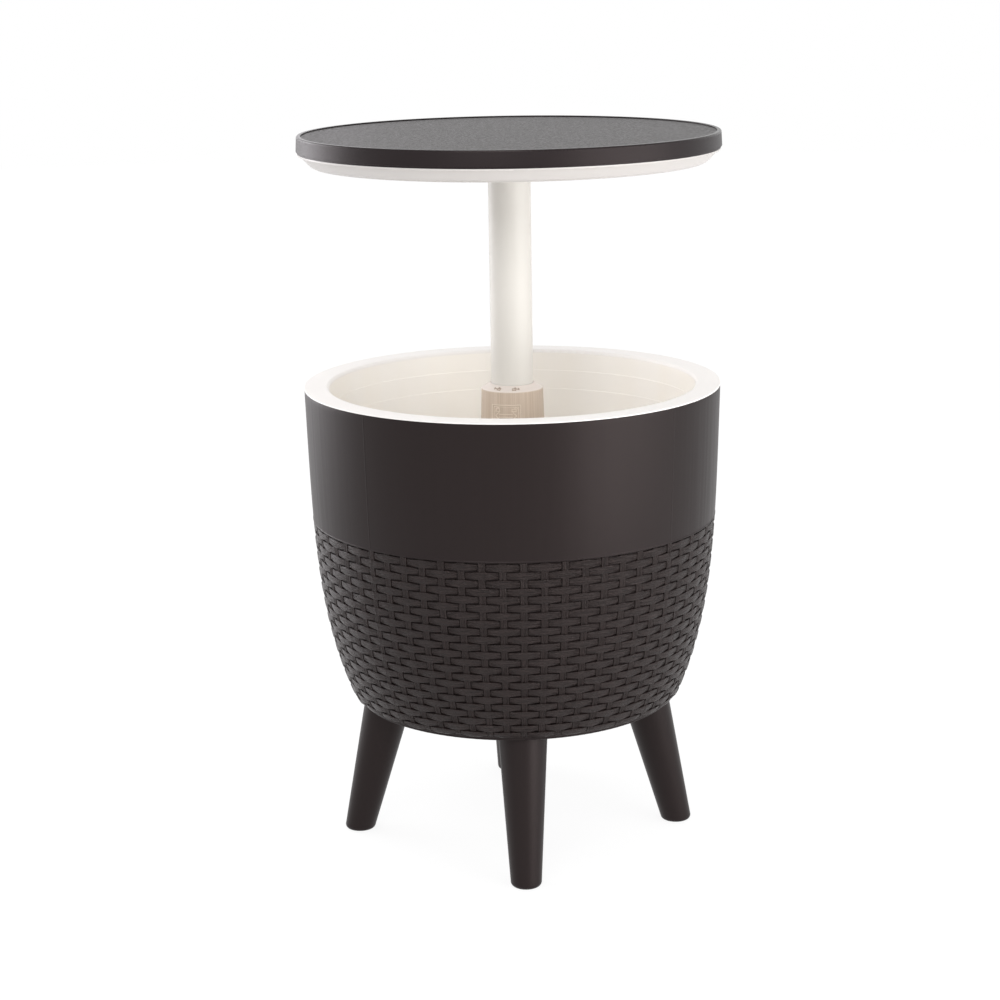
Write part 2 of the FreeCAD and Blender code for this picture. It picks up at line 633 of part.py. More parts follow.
def lock_fasteners():
    """Washer and screw that hold the carrier on the cam plug's journal."""
    bore = "Dim.lock_screw_radius + Dim.hole_gap"
    turned("retaining_washer", [
        (bore, "Dim.washer_foot"),
        ("Dim.washer_radius", "Dim.washer_foot"),
        ("Dim.washer_radius", "Dim.journal_foot"),
        (bore, "Dim.journal_foot"),
    ])
    turned("retaining_screw", [
        ("0", "Dim.washer_foot - Dim.lock_screw_head"),
        ("Dim.lock_screw_head_radius", "Dim.washer_foot - Dim.lock_screw_head"),
        ("Dim.lock_screw_head_radius", "Dim.washer_foot"),
        ("Dim.lock_screw_radius", "Dim.washer_foot"),
        ("Dim.lock_screw_radius", "Dim.washer_foot + Dim.lock_screw_length"),
        ("0", "Dim.washer_foot + Dim.lock_screw_length"),
    ])


# The column inside the liner.


def column_sleeve():
    """Taupe column round the post, with a sloping collar and a foot flange."""
    shoulder = "Dim.column_top - Dim.collar_crown"
    flange_top = "Dim.column_foot + Dim.column_flange"
    pocket_foot = "Dim.bush_top - Dim.collar_pocket"
    fall = "(Dim.column_foot_radius - Dim.collar_radius)"
    height = "(Dim.column_top - Dim.collar_crown - Dim.column_foot - Dim.column_flange)"
    pocket_wall = f"Dim.collar_radius - Dim.column_wall + {fall} * Dim.collar_pocket / {height}"
    body = turned("column_sleeve", [
        ("Dim.column_foot_radius - Dim.column_wall", "Dim.column_foot"),
        ("Dim.column_flange_radius", "Dim.column_foot"),
        ("Dim.column_flange_radius", flange_top),
        ("Dim.column_foot_radius", flange_top),
        ("Dim.collar_radius", shoulder),
        ("Dim.collar_mouth", "Dim.column_top"),
        ("Dim.post_radius + 2 * Dim.seat_gap", "Dim.column_top"),
        ("Dim.post_radius + 2 * Dim.seat_gap", "Dim.bush_top"),
        ("Dim.pocket_radius", "Dim.bush_top"),
        ("Dim.pocket_radius", pocket_foot),
        (pocket_wall, pocket_foot + " - Dim.column_wall"),
        ("Dim.column_foot_radius - Dim.column_wall", flange_top),
    ])
    round_edges(body, "Dim.collar_round", [("Dim.collar_radius", shoulder),
                                           ("Dim.column_flange_radius", flange_top)])
    across, along = on_circle("Dim.column_boss_circle", COLUMN_SCREW_START)
    boss = primitive(body, "AdditiveCylinder", "column_boss", {
        "Radius": "Dim.column_boss_radius", "Height": "Dim.column_flange + Dim.column_boss_height",
    }, across, along, "Dim.column_foot")
    pilot = primitive(body, "SubtractiveCylinder", "column_pilot", {
        "Radius": "Dim.screw_radius + Dim.hole_gap / 2", "Height": "Dim.screw_bite",
    }, across, along, "Dim.column_foot")
    repeat_round(body, [boss, pilot], "Dim.column_screw_count")


def collar_bush():
    """Guide bush in the collar, round the post."""
    bore = "Dim.post_radius + Dim.running_fit"
    turned("collar_bush", [
        (bore, "Dim.tube_top"),
        ("Dim.tube_radius", "Dim.tube_top"),
        ("Dim.tube_radius", "Dim.bush_top"),
        (bore, "Dim.bush_top"),
    ])


def guide_tube():
    """Aluminium tube from the base plate up to the bush; the lock ring grips its bore."""
    turned("guide_tube", [
        ("Dim.tube_bore", "Dim.base_top"),
        ("Dim.tube_radius", "Dim.base_top"),
        ("Dim.tube_radius", "Dim.tube_top"),
        ("Dim.tube_bore", "Dim.tube_top"),
    ])


def column_seal():
    """Rubber ring between the column's foot and the liner's floor."""
    body = turned("column_seal", [
        ("Dim.column_foot_radius - Dim.column_wall", "Dim.liner_floor"),
        ("Dim.column_flange_radius", "Dim.liner_floor"),
        ("Dim.column_flange_radius", "Dim.column_foot"),
        ("Dim.column_foot_radius - Dim.column_wall", "Dim.column_foot"),
    ])
    across, along = on_circle("Dim.column_boss_circle", COLUMN_SCREW_START)
    hole = primitive(body, "SubtractiveCylinder", "seal_screw_hole", {
        "Radius": "Dim.screw_radius + Dim.hole_gap", "Height": "Dim.seal_thickness",
    }, across, along, "Dim.liner_floor")
    repeat_round(body, [hole], "Dim.column_screw_count")


# The tub: liner, outer shell and base plate.


def liner_radius(drop, ledges):
    """Inner radius of the liner's side at a drop below the rim, past some fill lines."""
    return f"(Dim.mouth_radius - ({drop}) * tan(Dim.liner_draft * 1 deg) - {ledges} * Dim.step_inset)"


def inner_liner():
    """Pale liner with a flat rim, two fill lines and a flat floor."""
    full_drop = "(Dim.rim_height - Dim.liner_floor)"
    skirt = ("Dim.shell_radius - Dim.shell_wall - Dim.register_gap"
             " - Dim.shell_draft * Dim.skirt_depth / (Dim.rim_under - Dim.base_top)")
    skirt_foot = "Dim.rim_under - Dim.skirt_depth"
    body = turned("inner_liner", [
        ("Dim.column_hole", "Dim.liner_floor"),
        (liner_radius(full_drop, 2), "Dim.liner_floor"),
        (liner_radius("Dim.step_second", 2), "Dim.rim_height - Dim.step_second"),
        (liner_radius("Dim.step_second", 1), "Dim.rim_height - Dim.step_second"),
        (liner_radius("Dim.step_first", 1), "Dim.rim_height - Dim.step_first"),
        (liner_radius("Dim.step_first", 0), "Dim.rim_height - Dim.step_first"),
        ("Dim.mouth_radius", "Dim.rim_height"),
        ("Dim.tub_radius", "Dim.rim_height"),
        ("Dim.tub_radius", "Dim.rim_under"),
        (skirt, "Dim.rim_under"),
        (skirt, skirt_foot),
        (skirt + " - Dim.skirt_wall", skirt_foot),
        (skirt + " - Dim.skirt_wall", "Dim.rim_height - Dim.rim_thickness"),
        ("Dim.mouth_radius + Dim.liner_wall", "Dim.rim_height - Dim.rim_thickness"),
        (liner_radius(full_drop, 2) + " + Dim.liner_wall", "Dim.liner_under"),
        ("Dim.column_hole", "Dim.liner_under"),
    ])
    round_edges(body, "Dim.rim_outer_round", [("Dim.tub_radius", "Dim.rim_height")])
    round_edges(body, "Dim.rim_inner_round", [("Dim.mouth_radius", "Dim.rim_height")])
    round_edges(body, "Dim.liner_corner", [(liner_radius(full_drop, 2), "Dim.liner_floor")])
    round_edges(body, "Dim.liner_corner + Dim.liner_wall",
                [(liner_radius(full_drop, 2) + " + Dim.liner_wall", "Dim.liner_under")])
    across, along = on_circle("Dim.column_boss_circle", COLUMN_SCREW_START)
    hole = primitive(body, "SubtractiveCylinder", "liner_screw_hole", {
        "Radius": "Dim.screw_radius + Dim.hole_gap", "Height": "Dim.liner_wall",
    }, across, along, "Dim.liner_under")
    repeat_round(body, [hole], "Dim.column_screw_count")
    across, along = on_circle("Dim.drain_circle", "Dim.drain_angle")
    primitive(body, "SubtractiveCylinder", "liner_drain_hole", {
        "Radius": "Dim.drain_radius + Dim.hole_gap", "Height": "Dim.liner_wall",
    }, across, along, "Dim.liner_under")


# The lower the share of the height, the faster the foot rounds in.
BELLY_POWER = 4
SIDE_STEPS = 7


def shell_outline_radius(share, inset):
    """Outer radius of the shell at a share of its height below the rim."""
    return (value("Dim.shell_radius") - inset - value("Dim.shell_draft") * share
            - value("Dim.shell_belly") * share ** BELLY_POWER)


def shell_side(inset, foot):
    """The shell's side as a smooth curve from its top edge down to foot."""
    top = value("Dim.rim_under")
    points = []
    for index in range(SIDE_STEPS + 1):
        share = index / SIDE_STEPS
        points.append(Vector(shell_outline_radius(share, inset), 0, top + (foot - top) * share))
    curve = Part.BSplineCurve()
    curve.interpolate(points)
    return curve.toShape()


def outer_shell():
    """Dark shell with an even upper side and a rounded foot, open at the bottom."""
    top = value("Dim.rim_under")
    foot = value("Dim.base_top")
    wall = value("Dim.shell_wall")
    inner_foot = foot + wall
    hole = value("Dim.shell_return")
    outside = shell_side(0, foot)
    inside = shell_side(wall, inner_foot)
    corners = [
        Vector(shell_outline_radius(1, 0), 0, foot),
        Vector(hole, 0, foot),
        Vector(hole, 0, inner_foot),
        Vector(shell_outline_radius(1, wall), 0, inner_foot),
    ]
    sides = [Part.makeLine(a, b) for a, b in zip(corners, corners[1:])]
    rim = Part.makeLine(Vector(shell_outline_radius(0, 0), 0, top),
                        Vector(shell_outline_radius(0, wall), 0, top))
    outline = Part.Wire(Part.__sortEdges__([outside, *sides, inside, rim]))
    solid = Part.Face(outline).revolve(Vector(), Vector(0, 0, 1), 360)
    edges = [edge for edge in solid.Edges
             if hasattr(edge.Curve, "Radius")
             and abs(edge.Curve.Radius - shell_outline_radius(1, 0)) < 0.01
             and abs(edge.Curve.Center.z - foot) < 0.01]
    solid = solid.makeFillet(value("Dim.shell_round"), edges)
    circle = value("Dim.base_screw_circle")
    pilot = value("Dim.screw_radius") + value("Dim.hole_gap") / 2
    count = int(value("Dim.base_screw_count"))
    for index in range(count):
        angle = math.radians(180 / count + 360 * index / count)
        centre = Vector(circle * math.cos(angle), circle * math.sin(angle), foot)
        on_ledge = centre + Vector(0, 0, wall / 2)
        boss = Part.makeCylinder(value("Dim.shell_boss_radius"), value("Dim.shell_boss_height"), on_ledge)
        solid = solid.fuse(boss)
        solid = solid.cut(Part.makeCylinder(pilot, value("Dim.screw_bite"), centre))
    item = doc.addObject("Part::Feature", "outer_shell")
    item.Shape = solid.removeSplitter()
    piece(item, "outer_shell")


def base_plate():
    """Dark plate under the shell that carries the legs and the guide tube."""
    ring_out = "Dim.shell_return - Dim.register_gap"
    ring_top = "Dim.base_top + Dim.base_register"
    socket_out = "Dim.pocket_radius + Dim.base_ring_wall"
    body = turned("base_plate", [
        ("0", "Dim.base_height"),
        ("Dim.base_radius", "Dim.base_height"),
        ("Dim.base_radius", "Dim.base_top"),
        (ring_out, "Dim.base_top"),
        (ring_out, ring_top),
        (ring_out + " - Dim.base_ring_wall", ring_top),
        (ring_out + " - Dim.base_ring_wall", "Dim.base_top"),
        (socket_out, "Dim.base_top"),
        (socket_out, "Dim.base_top + 2 * Dim.base_register"),
        ("Dim.pocket_radius", "Dim.base_top + 2 * Dim.base_register"),
        ("Dim.pocket_radius", "Dim.base_top"),
        ("0", "Dim.base_top"),
    ])
    round_edges(body, "Dim.base_round", [("Dim.base_radius", "Dim.base_height")])
    across, along = on_circle("Dim.leg_top_circle", "0")
    boss = primitive(body, "AdditiveCylinder", "leg_boss", {
        "Radius": "Dim.leg_boss_radius", "Height": "Dim.base_thickness + Dim.leg_boss_height",
    }, across, along, "Dim.base_height")
    bore = primitive(body, "SubtractiveCylinder", "leg_bolt_hole", {
        "Radius": "Dim.leg_bolt_radius + 3 * Dim.hole_gap",
        "Height": "Dim.base_thickness + Dim.leg_boss_height",
    }, across, along, "Dim.base_height")
    repeat_round(body, [boss, bore], str(len(LEGS)))
    across, along = on_circle("Dim.base_screw_circle", BASE_SCREW_START)
    bore = primitive(body, "SubtractiveCylinder", "base_screw_hole", {
        "Radius": "Dim.screw_radius + Dim.hole_gap", "Height": "Dim.base_thickness",
    }, across, along, "Dim.base_height")
    sink = primitive(body, "SubtractiveCylinder", "base_screw_sink", {
        "Radius": "Dim.screw_head_radius + Dim.hole_gap", "Height": "Dim.screw_head",
    }, across, along, "Dim.base_height")
    repeat_round(body, [bore, sink], "Dim.base_screw_count")
    across, along = on_circle("Dim.drain_circle", "Dim.drain_angle")
    primitive(body, "SubtractiveCylinder", "base_drain_hole", {
        "Radius": "Dim.drain_radius + Dim.register_gap", "Height": "Dim.base_thickness",
    }, across, along, "Dim.base_height")


# Legs and what bolts them on.

LEGS = [("leg_front", 0), ("leg_right", 90), ("leg_back", 180), ("leg_left", 270)]


def leg(label, angle):
    """A tapered leg that splays outwards, cut flat at both ends, with a hole for its insert."""
    body = new_body(label)
    past = "Dim.leg_top_radius"
    cone = primitive(body, "AdditiveCone", label + "_cone", {
        "Radius1": f"Dim.leg_foot_radius - Dim.leg_taper * {past}",
        "Radius2": f"Dim.leg_top_radius + Dim.leg_taper * {past}",
        "Height": f"Dim.leg_axis + 2 * {past}",
    }, "0", f"-Dim.leg_foot_circle - {past} * sin(Dim.leg_lean)", f"-{past} * cos(Dim.leg_lean)",
        Rotation(Vector(-1, 0, 0), value("Dim.leg_lean")))
    cone.setExpression("AttachmentOffset.Rotation.Angle", "Dim.leg_lean")
    middle = "(Dim.leg_foot_circle + Dim.leg_top_circle) / 2"
    for name, foot in (("_floor_cut", f"-2 * {past}"), ("_head_cut", "Dim.base_height")):
        primitive(body, "SubtractiveBox", label + name, {
            "Length": f"4 * {past}", "Width": f"6 * {past}", "Height": f"2 * {past}",
        }, f"-2 * {past}", f"-{middle} - 3 * {past}", foot)
    round_floor_edge(body, "Dim.leg_foot_round")
    primitive(body, "SubtractiveCylinder", label + "_hole", {
        "Radius": "Dim.leg_insert_radius + Dim.hole_gap / 2", "Height": leg_hole_depth(),
    }, "0", "-Dim.leg_top_circle", "Dim.base_height - (" + leg_hole_depth() + ")")
    body.Placement = Placement(Vector(), Rotation(Vector(0, 0, 1), angle))


def round_floor_edge(body, radius):
    """Round the edges of a piece that lie on the floor."""
    base = body.Tip
    names = [f"Edge{index}" for index, edge in enumerate(base.Shape.Edges, start=1)
             if abs(edge.BoundBox.ZMax) < 0.01]
    fillet = body.newObject("PartDesign::Fillet", body.Label + "_round")
    fillet.Base = (base, names)
    fillet.setExpression("Radius", radius)
    body.Tip = fillet
    doc.recompute()


def leg_hole_depth():
    """Depth of the hole in a leg, a little past the bolt's end."""
    return "(Dim.leg_bolt_length - Dim.leg_boss_height - Dim.base_thickness + Dim.hole_spare)"


# Sides of a bolt's head and of the drain nut.
HEXAGON = 6


def leg_fasteners():
    """Bolts, washers and threaded inserts, one of each at every leg."""
    bolts, washers, inserts = [], [], []
    seat = "Dim.base_top + Dim.leg_boss_height"
    head_foot = seat + " + Dim.leg_washer_thickness"
    for label, angle in LEGS:
        spot = on_circle("Dim.leg_top_circle", angle - 90)
        head = doc.addObject("Part::Prism", label + "_bolt_head")
        head.Polygon = HEXAGON
        bind(head, {"Circumradius": "Dim.leg_bolt_flats / 2 / cos(30 deg)", "Height": "Dim.leg_bolt_head"})
        place(head, *spot, head_foot)
        shank = cylinder(label + "_bolt_shank", "Dim.leg_bolt_radius",
                         "Dim.leg_bolt_length + Dim.leg_bolt_head / 2",
                         *spot, head_foot + " - Dim.leg_bolt_length")
        bolts.append(joined(label + "_bolt", [head, shank]))
        disc = cylinder(label + "_washer_disc", "Dim.leg_washer_radius", "Dim.leg_washer_thickness",
                        *spot, seat)
        hole = cylinder(label + "_washer_hole", "Dim.leg_bolt_radius + 2 * Dim.hole_gap",
                        "Dim.leg_washer_thickness", *spot, seat)
        washers.append(less(label + "_washer", disc, hole))
        foot = "Dim.base_height - Dim.leg_insert_length"
        plug = cylinder(label + "_insert_body", "Dim.leg_insert_radius", "Dim.leg_insert_length",
                        *spot, foot)
        bore = cylinder(label + "_insert_bore", "Dim.leg_bolt_radius + Dim.hole_gap / 2",
                        "Dim.leg_insert_length", *spot, foot)
        inserts.append(less(label + "_insert", plug, bore))
    group("leg_bolts", bolts)
    group("leg_washers", washers)
    group("leg_inserts", inserts)


# The drain in the liner's floor.


def at_drain(body):
    """Move a piece that is modelled about its own axis to the drain's place."""
    across, along = on_circle("Dim.drain_circle", "Dim.drain_angle")
    place(body, across, along)


def drain_fitting():
    """White spout from the liner's floor down through the base plate."""
    top = "Dim.liner_floor + Dim.seal_thickness + Dim.drain_flange"
    body = turned("drain_fitting", [
        ("Dim.drain_bore", "Dim.fitting_foot"),
        ("Dim.drain_radius", "Dim.fitting_foot"),
        ("Dim.drain_radius", "Dim.liner_floor + Dim.seal_thickness"),
        ("Dim.drain_flange_radius", "Dim.liner_floor + Dim.seal_thickness"),
        ("Dim.drain_flange_radius", top),
        ("Dim.drain_bore", top),
    ])
    at_drain(body)


def drain_seal():
    """Rubber washer between the drain's flange and the liner's floor."""
    body = turned("drain_seal", [
        ("Dim.drain_radius + Dim.hole_gap", "Dim.liner_floor"),
        ("Dim.drain_flange_radius", "Dim.liner_floor"),
        ("Dim.drain_flange_radius", "Dim.liner_floor + Dim.seal_thickness"),
        ("Dim.drain_radius + Dim.hole_gap", "Dim.liner_floor + Dim.seal_thickness"),
    ])
    at_drain(body)


def drain_nut():
    """Nut that clamps the drain fitting from below."""
    foot = "Dim.liner_under - Dim.drain_nut_height"
    spot = on_circle("Dim.drain_circle", "Dim.drain_angle")
    block = doc.addObject("Part::Prism", "drain_nut_block")
    block.Polygon = HEXAGON
    bind(block, {"Circumradius": "Dim.drain_nut_flats / 2 / cos(30 deg)",
                 "Height": "Dim.drain_nut_height"})
    place(block, *spot, foot)
    bore = cylinder("drain_nut_bore", "Dim.drain_radius + Dim.hole_gap / 2", "Dim.drain_nut_height",
                    *spot, foot)
    piece(less("drain_nut", block, bore), "drain_nut")


def drain_plug():
    """Rubber plug pushed into the spout from below, with a tab to pull it out."""
    head_top = "Dim.base_height - Dim.seat_gap"
    head_foot = head_top + " - Dim.plug_head"
    stem = "Dim.drain_bore - Dim.seat_gap"
    body = turned("drain_plug", [
        ("0", head_foot),
        ("Dim.plug_head_radius", head_foot),
        ("Dim.plug_head_radius", head_top),
        (stem, head_top),
        (stem, head_top + " + Dim.plug_stem"),
        ("0", head_top + " + Dim.plug_stem"),
    ])
    primitive(body, "AdditiveBox", "plug_tab", {
        "Length": "Dim.plug_tab_width", "Width": "Dim.plug_tab_thickness",
        "Height": "Dim.plug_tab_height + Dim.plug_head / 2",
    }, "-Dim.plug_tab_width / 2", "-Dim.plug_tab_thickness / 2", head_foot + " - Dim.plug_tab_height")
    at_drain(body)


def build():
    """Make every piece."""
    table_top_cover()
    lid_under_cover()
    screws("lid_screws", "Dim.lid_screw_count", "Dim.lid_boss_circle", LID_SCREW_START,
           "Dim.dish_bottom - Dim.screw_head", "Dim.screw_head_radius", "Dim.screw_head",
           "Dim.screw_radius", "Dim.dish_wall + Dim.screw_bite")
    post_head_flange()
    screws("flange_screws", "Dim.flange_screw_count", "Dim.flange_boss_circle", FLANGE_SCREW_START,
           "Dim.flange_face", "Dim.flange_screw_head_radius", "Dim.flange_screw_head",
           "Dim.flange_screw_radius", "Dim.flange_screw_length")
    cross_pin("post_cross_pin", "Dim.cross_pin_radius", "Dim.hub_radius",
              "Dim.lid_under - Dim.cross_pin_drop")
    post_tube()
    cam_plug()
    cross_pin("cam_plug_pin", "Dim.plug_pin_radius", "Dim.post_radius",
              "Dim.post_foot + Dim.plug_pin_rise")
    lock_ring()
    ring_carrier()
    lock_fasteners()
    column_sleeve()
    collar_bush()
    guide_tube()
    column_seal()
    screws("column_screws", "Dim.column_screw_count", "Dim.column_boss_circle", COLUMN_SCREW_START,
           "Dim.liner_under - Dim.screw_head", "Dim.screw_head_radius", "Dim.screw_head",
           "Dim.screw_radius", "Dim.liner_wall + Dim.seal_thickness + Dim.screw_bite - Dim.hole_spare")
    inner_liner()
    outer_shell()
    base_plate()
    screws("base_screws", "Dim.base_screw_count", "Dim.base_screw_circle",
           BASE_SCREW_START, "Dim.base_height", "Dim.screw_head_radius",
           "Dim.screw_head", "Dim.screw_radius", "Dim.screw_bite")
    for label, angle in LEGS:
        leg(label, angle)
    leg_fasteners()
    drain_fitting()
    drain_seal()
    drain_nut()
    drain_plug()
    doc.recompute()


def check_and_write():
    """Stop on any failed object, then write one file for each piece."""
    for item in doc.Objects:
        if "Invalid" in item.State or "Error" in item.State:
            raise RuntimeError(f"{item.Label} failed: {item.State}")
    for item in pieces:
        if item.Shape.isNull() or not item.Shape.isValid() or not item.Shape.Solids:
            raise RuntimeError(f"{item.Label} has no valid solid")
    os.makedirs("parts", exist_ok=True)
    for item in pieces:
        item.Shape.exportStep(os.path.join("parts", item.Label + ".step"))


build()
check_and_write()
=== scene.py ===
import json
import math

import bpy
import numpy as np
from mathutils import Matrix, Vector


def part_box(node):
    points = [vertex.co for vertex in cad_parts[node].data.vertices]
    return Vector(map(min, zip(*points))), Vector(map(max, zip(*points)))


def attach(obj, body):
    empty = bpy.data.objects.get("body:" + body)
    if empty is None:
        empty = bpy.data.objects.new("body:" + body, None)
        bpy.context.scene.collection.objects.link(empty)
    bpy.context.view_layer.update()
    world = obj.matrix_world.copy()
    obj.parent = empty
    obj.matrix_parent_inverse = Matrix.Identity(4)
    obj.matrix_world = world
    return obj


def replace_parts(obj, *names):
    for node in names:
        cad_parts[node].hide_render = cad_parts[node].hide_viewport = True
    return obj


# Looks of the ice bucket coffee table, raised and locked as in its photograph.
# The scene is in metres, +Z up, with the front leg towards -Y. The sizes of the pieces that are
# built here are in millimetres until their points are placed.

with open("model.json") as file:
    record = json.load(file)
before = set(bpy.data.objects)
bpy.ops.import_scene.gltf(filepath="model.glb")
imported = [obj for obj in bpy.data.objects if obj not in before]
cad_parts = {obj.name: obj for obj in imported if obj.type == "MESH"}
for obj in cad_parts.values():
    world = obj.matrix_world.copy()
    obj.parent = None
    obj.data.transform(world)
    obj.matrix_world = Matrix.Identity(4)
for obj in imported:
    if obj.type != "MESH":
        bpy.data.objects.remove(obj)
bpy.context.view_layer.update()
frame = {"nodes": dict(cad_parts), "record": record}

MM = 0.001
FRONT = math.radians(-90)


# Finishes: nodes, a value that varies over a surface, and the material made of them.

NOISE_LOW = 0.3
NOISE_HIGH = 0.7


class Nodes:
    """The nodes of one material or of the world."""

    def __init__(self, owner):
        owner.use_nodes = True
        self.tree = owner.node_tree
        self.tree.nodes.clear()

    def feed(self, socket, value):
        """Link a value to a socket, or set the socket to a plain number or colour."""
        if isinstance(value, Value):
            self.tree.links.new(value.socket, socket)
        elif isinstance(value, bpy.types.NodeSocket):
            self.tree.links.new(value, socket)
        else:
            socket.default_value = value

    def node(self, kind, settings=None, inputs=None):
        """A node of that type, with its settings made first and then its sockets fed."""
        made = self.tree.nodes.new(kind)
        for name, value in (settings or {}).items():
            if name == "stops":
                set_stops(made.color_ramp, value)
            else:
                setattr(made, name, value)
        for name, value in (inputs or {}).items():
            self.feed(made.inputs[name], value)
        return made

    def parts(self, vector):
        """The three parts of a vector as values."""
        split = self.node("ShaderNodeSeparateXYZ", None, {0: vector})
        return [Value(self, out) for out in split.outputs]

    def span(self, value, low, high, to_low=0, to_high=1):
        """A value carried from one range to another, and held inside it."""
        made = self.node("ShaderNodeMapRange", {"clamp": True}, {
            "Value": value, "From Min": low, "From Max": high,
            "To Min": to_low, "To Max": to_high})
        return Value(self, made.outputs["Result"])

    def seen(self):
        """1 for what the camera sees, directly or in gloss and glass, and 0 for other light."""
        path = self.node("ShaderNodeLightPath")
        camera, gloss, glass = (
            Value(self, path.outputs[name])
            for name in ("Is Camera Ray", "Is Glossy Ray", "Is Transmission Ray"))
        return camera.math("MAXIMUM", gloss).math("MAXIMUM", glass)


class Value:
    """A number that varies over a surface, with the arithmetic of Math nodes."""

    def __init__(self, nodes, socket):
        self.nodes = nodes
        self.socket = socket

    def math(self, operation, *others):
        """A Math node on this value and the others."""
        sockets = dict(enumerate([self, *others]))
        made = self.nodes.node("ShaderNodeMath", {"operation": operation}, sockets)
        return Value(self.nodes, made.outputs[0])

    def __add__(self, other):
        return self.math("ADD", other)

    __radd__ = __add__

    def __sub__(self, other):
        return self.math("SUBTRACT", other)

    def __rsub__(self, other):
        return self * -1 + other

    def __mul__(self, other):
        return self.math("MULTIPLY", other)

    __rmul__ = __mul__


class Finish(Nodes):
    """A material on one Principled shader, with the nodes that vary it."""

    def __init__(self, name, settings):
        """Settings are the shader's sockets that are the same all over the surface."""
        self.material = bpy.data.materials.new(name)
        super().__init__(self.material)
        self.shader = self.node("ShaderNodeBsdfPrincipled", None, settings)
        self.node("ShaderNodeOutputMaterial", None, {"Surface": self.shader.outputs[0]})

    def place(self):
        """Where a point is on the resting table, in metres."""
        return self.node("ShaderNodeTexCoord").outputs["Object"]

    def above(self, height, soft=0.001):
        """1 above a height on the resting table and 0 below it, softened just under the height."""
        z = self.parts(self.place())[2]
        return self.span(z, height - soft, height)

    def attribute(self, name):
        """A mesh attribute as a vector."""
        return self.node("ShaderNodeAttribute", {"attribute_name": name}).outputs["Vector"]

    def vector(self, x, y, z):
        """A vector from three values."""
        return self.node("ShaderNodeCombineXYZ", None, {0: x, 1: y, 2: z}).outputs[0]

    def unrolled(self, scale_round, scale_up):
        """Coordinates round the upright axis and up it, for marks that follow a turned piece."""
        x, y, z = self.parts(self.place())
        return self.vector(x.math("ARCTAN2", y) * scale_round, 0.0, z * scale_up)

    def noise(self, vector, scale, detail=3.0, roughness=0.55, distortion=0.0):
        """Fine cloud noise from 0 to 1."""
        made = self.node("ShaderNodeTexNoise", None, {
            "Vector": vector, "Scale": scale, "Detail": detail,
            "Roughness": roughness, "Distortion": distortion})
        return Value(self, made.outputs["Fac"])

    def ramp(self, value, stops):
        """A colour that goes through the given stops."""
        return self.node("ShaderNodeValToRGB", {"stops": stops}, {"Fac": value}).outputs["Color"]

    def mix(self, factor, first, second):
        """Two colours mixed."""
        made = self.node("ShaderNodeMix", {"data_type": "RGBA"}, {0: factor, 6: first, 7: second})
        return made.outputs[2]

    def colour(self, value):
        """Feed the base colour."""
        self.feed(self.shader.inputs["Base Color"], value)

    def vary(self, colour, value, depth):
        """Feed a colour made a little darker and lighter by a value from 0 to 1."""
        dark = [channel * (1 - depth) for channel in colour[:3]] + [1]
        pale = [min(1, channel * (1 + depth)) for channel in colour[:3]] + [1]
        self.colour(self.mix(value, dark, pale))

    def rough(self, value):
        """Feed the roughness."""
        self.feed(self.shader.inputs["Roughness"], value)

    def dullness(self, noise, low, high):
        """Feed the roughness between two numbers, from the middle of a noise's range."""
        self.rough(self.span(noise, NOISE_LOW, NOISE_HIGH, low, high))

    def bump(self, height, strength, distance):
        """Fine relief from a value, on top of any relief made before."""
        inputs = {"Strength": strength, "Distance": distance, "Height": height}
        before = self.shader.inputs["Normal"].links
        if before:
            inputs["Normal"] = before[0].from_socket
        made = self.node("ShaderNodeBump", None, inputs)
        self.feed(self.shader.inputs["Normal"], made.outputs["Normal"])


def set_stops(ramp, stops):
    """Set a colour ramp's stops from (position, colour) pairs."""
    while len(ramp.elements) < len(stops):
        ramp.elements.new(1)
    for element, (position, colour) in zip(ramp.elements, stops):
        element.position = position
        element.color = colour


def srgb(red, green, blue):
    """A linear colour from the 0 to 255 numbers of a picture."""
    def linear(channel):
        share = channel / 255
        return share / 12.92 if share <= 0.04045 else ((share + 0.055) / 1.055) ** 2.4
    return (linear(red), linear(green), linear(blue), 1)


WARM_GLOSS = (1, 0.87, 0.86, 1)

# Where a finish changes on its piece, in metres: heights, and the radius inside the lid's lip.
COLLAR_EDGE = 0.5436
RIM_ROUND = 0.5475
LID_FACE = 0.8385
LIP_INSIDE = 0.237
LIP_SOFT = 0.0006


def graphite_resin():
    """Smooth dark resin of band, legs and base: fine matt grain and faint upright flow marks."""
    finish = Finish("graphite_resin", {"IOR": 1.3, "Specular Tint": WARM_GLOSS})
    flow = finish.noise(finish.unrolled(14.0, 1.2), scale=3.0, detail=2.0)
    grain = finish.noise(finish.place(), scale=1900.0, detail=2.0)
    finish.vary(srgb(28, 22, 22), flow, depth=0.07)
    finish.dullness(flow, 0.38, 0.45)
    finish.bump(grain, strength=0.16, distance=0.0002)
    return finish.material


def woven_resin():
    """Dark resin of the woven relief: grain runs along each strip and stake.

    The grain attribute is in millimetres along and across, with a third part that sets each
    strip and stake apart from the others."""
    finish = Finish("woven_resin", {"IOR": 1.36, "Specular Tint": WARM_GLOSS})
    along, across, own = finish.parts(finish.attribute("grain"))
    streak_place = finish.vector(along * 0.06, across * 0.62, own * 60.0)
    fine_place = finish.vector(along * 0.2, across * 2.4, own * 35.0)
    streaks = finish.noise(streak_place, scale=1.0, roughness=0.6, distortion=0.7)
    fine = finish.noise(fine_place, scale=1.0, detail=2.0)
    finish.vary(srgb(31, 24, 23), finish.span(streaks, 0.34, 0.66), depth=0.5)
    finish.dullness(streaks, 0.26, 0.48)
    finish.bump(streaks, strength=1.0, distance=0.003)
    finish.bump(fine, strength=0.4, distance=0.0005)
    return finish.material


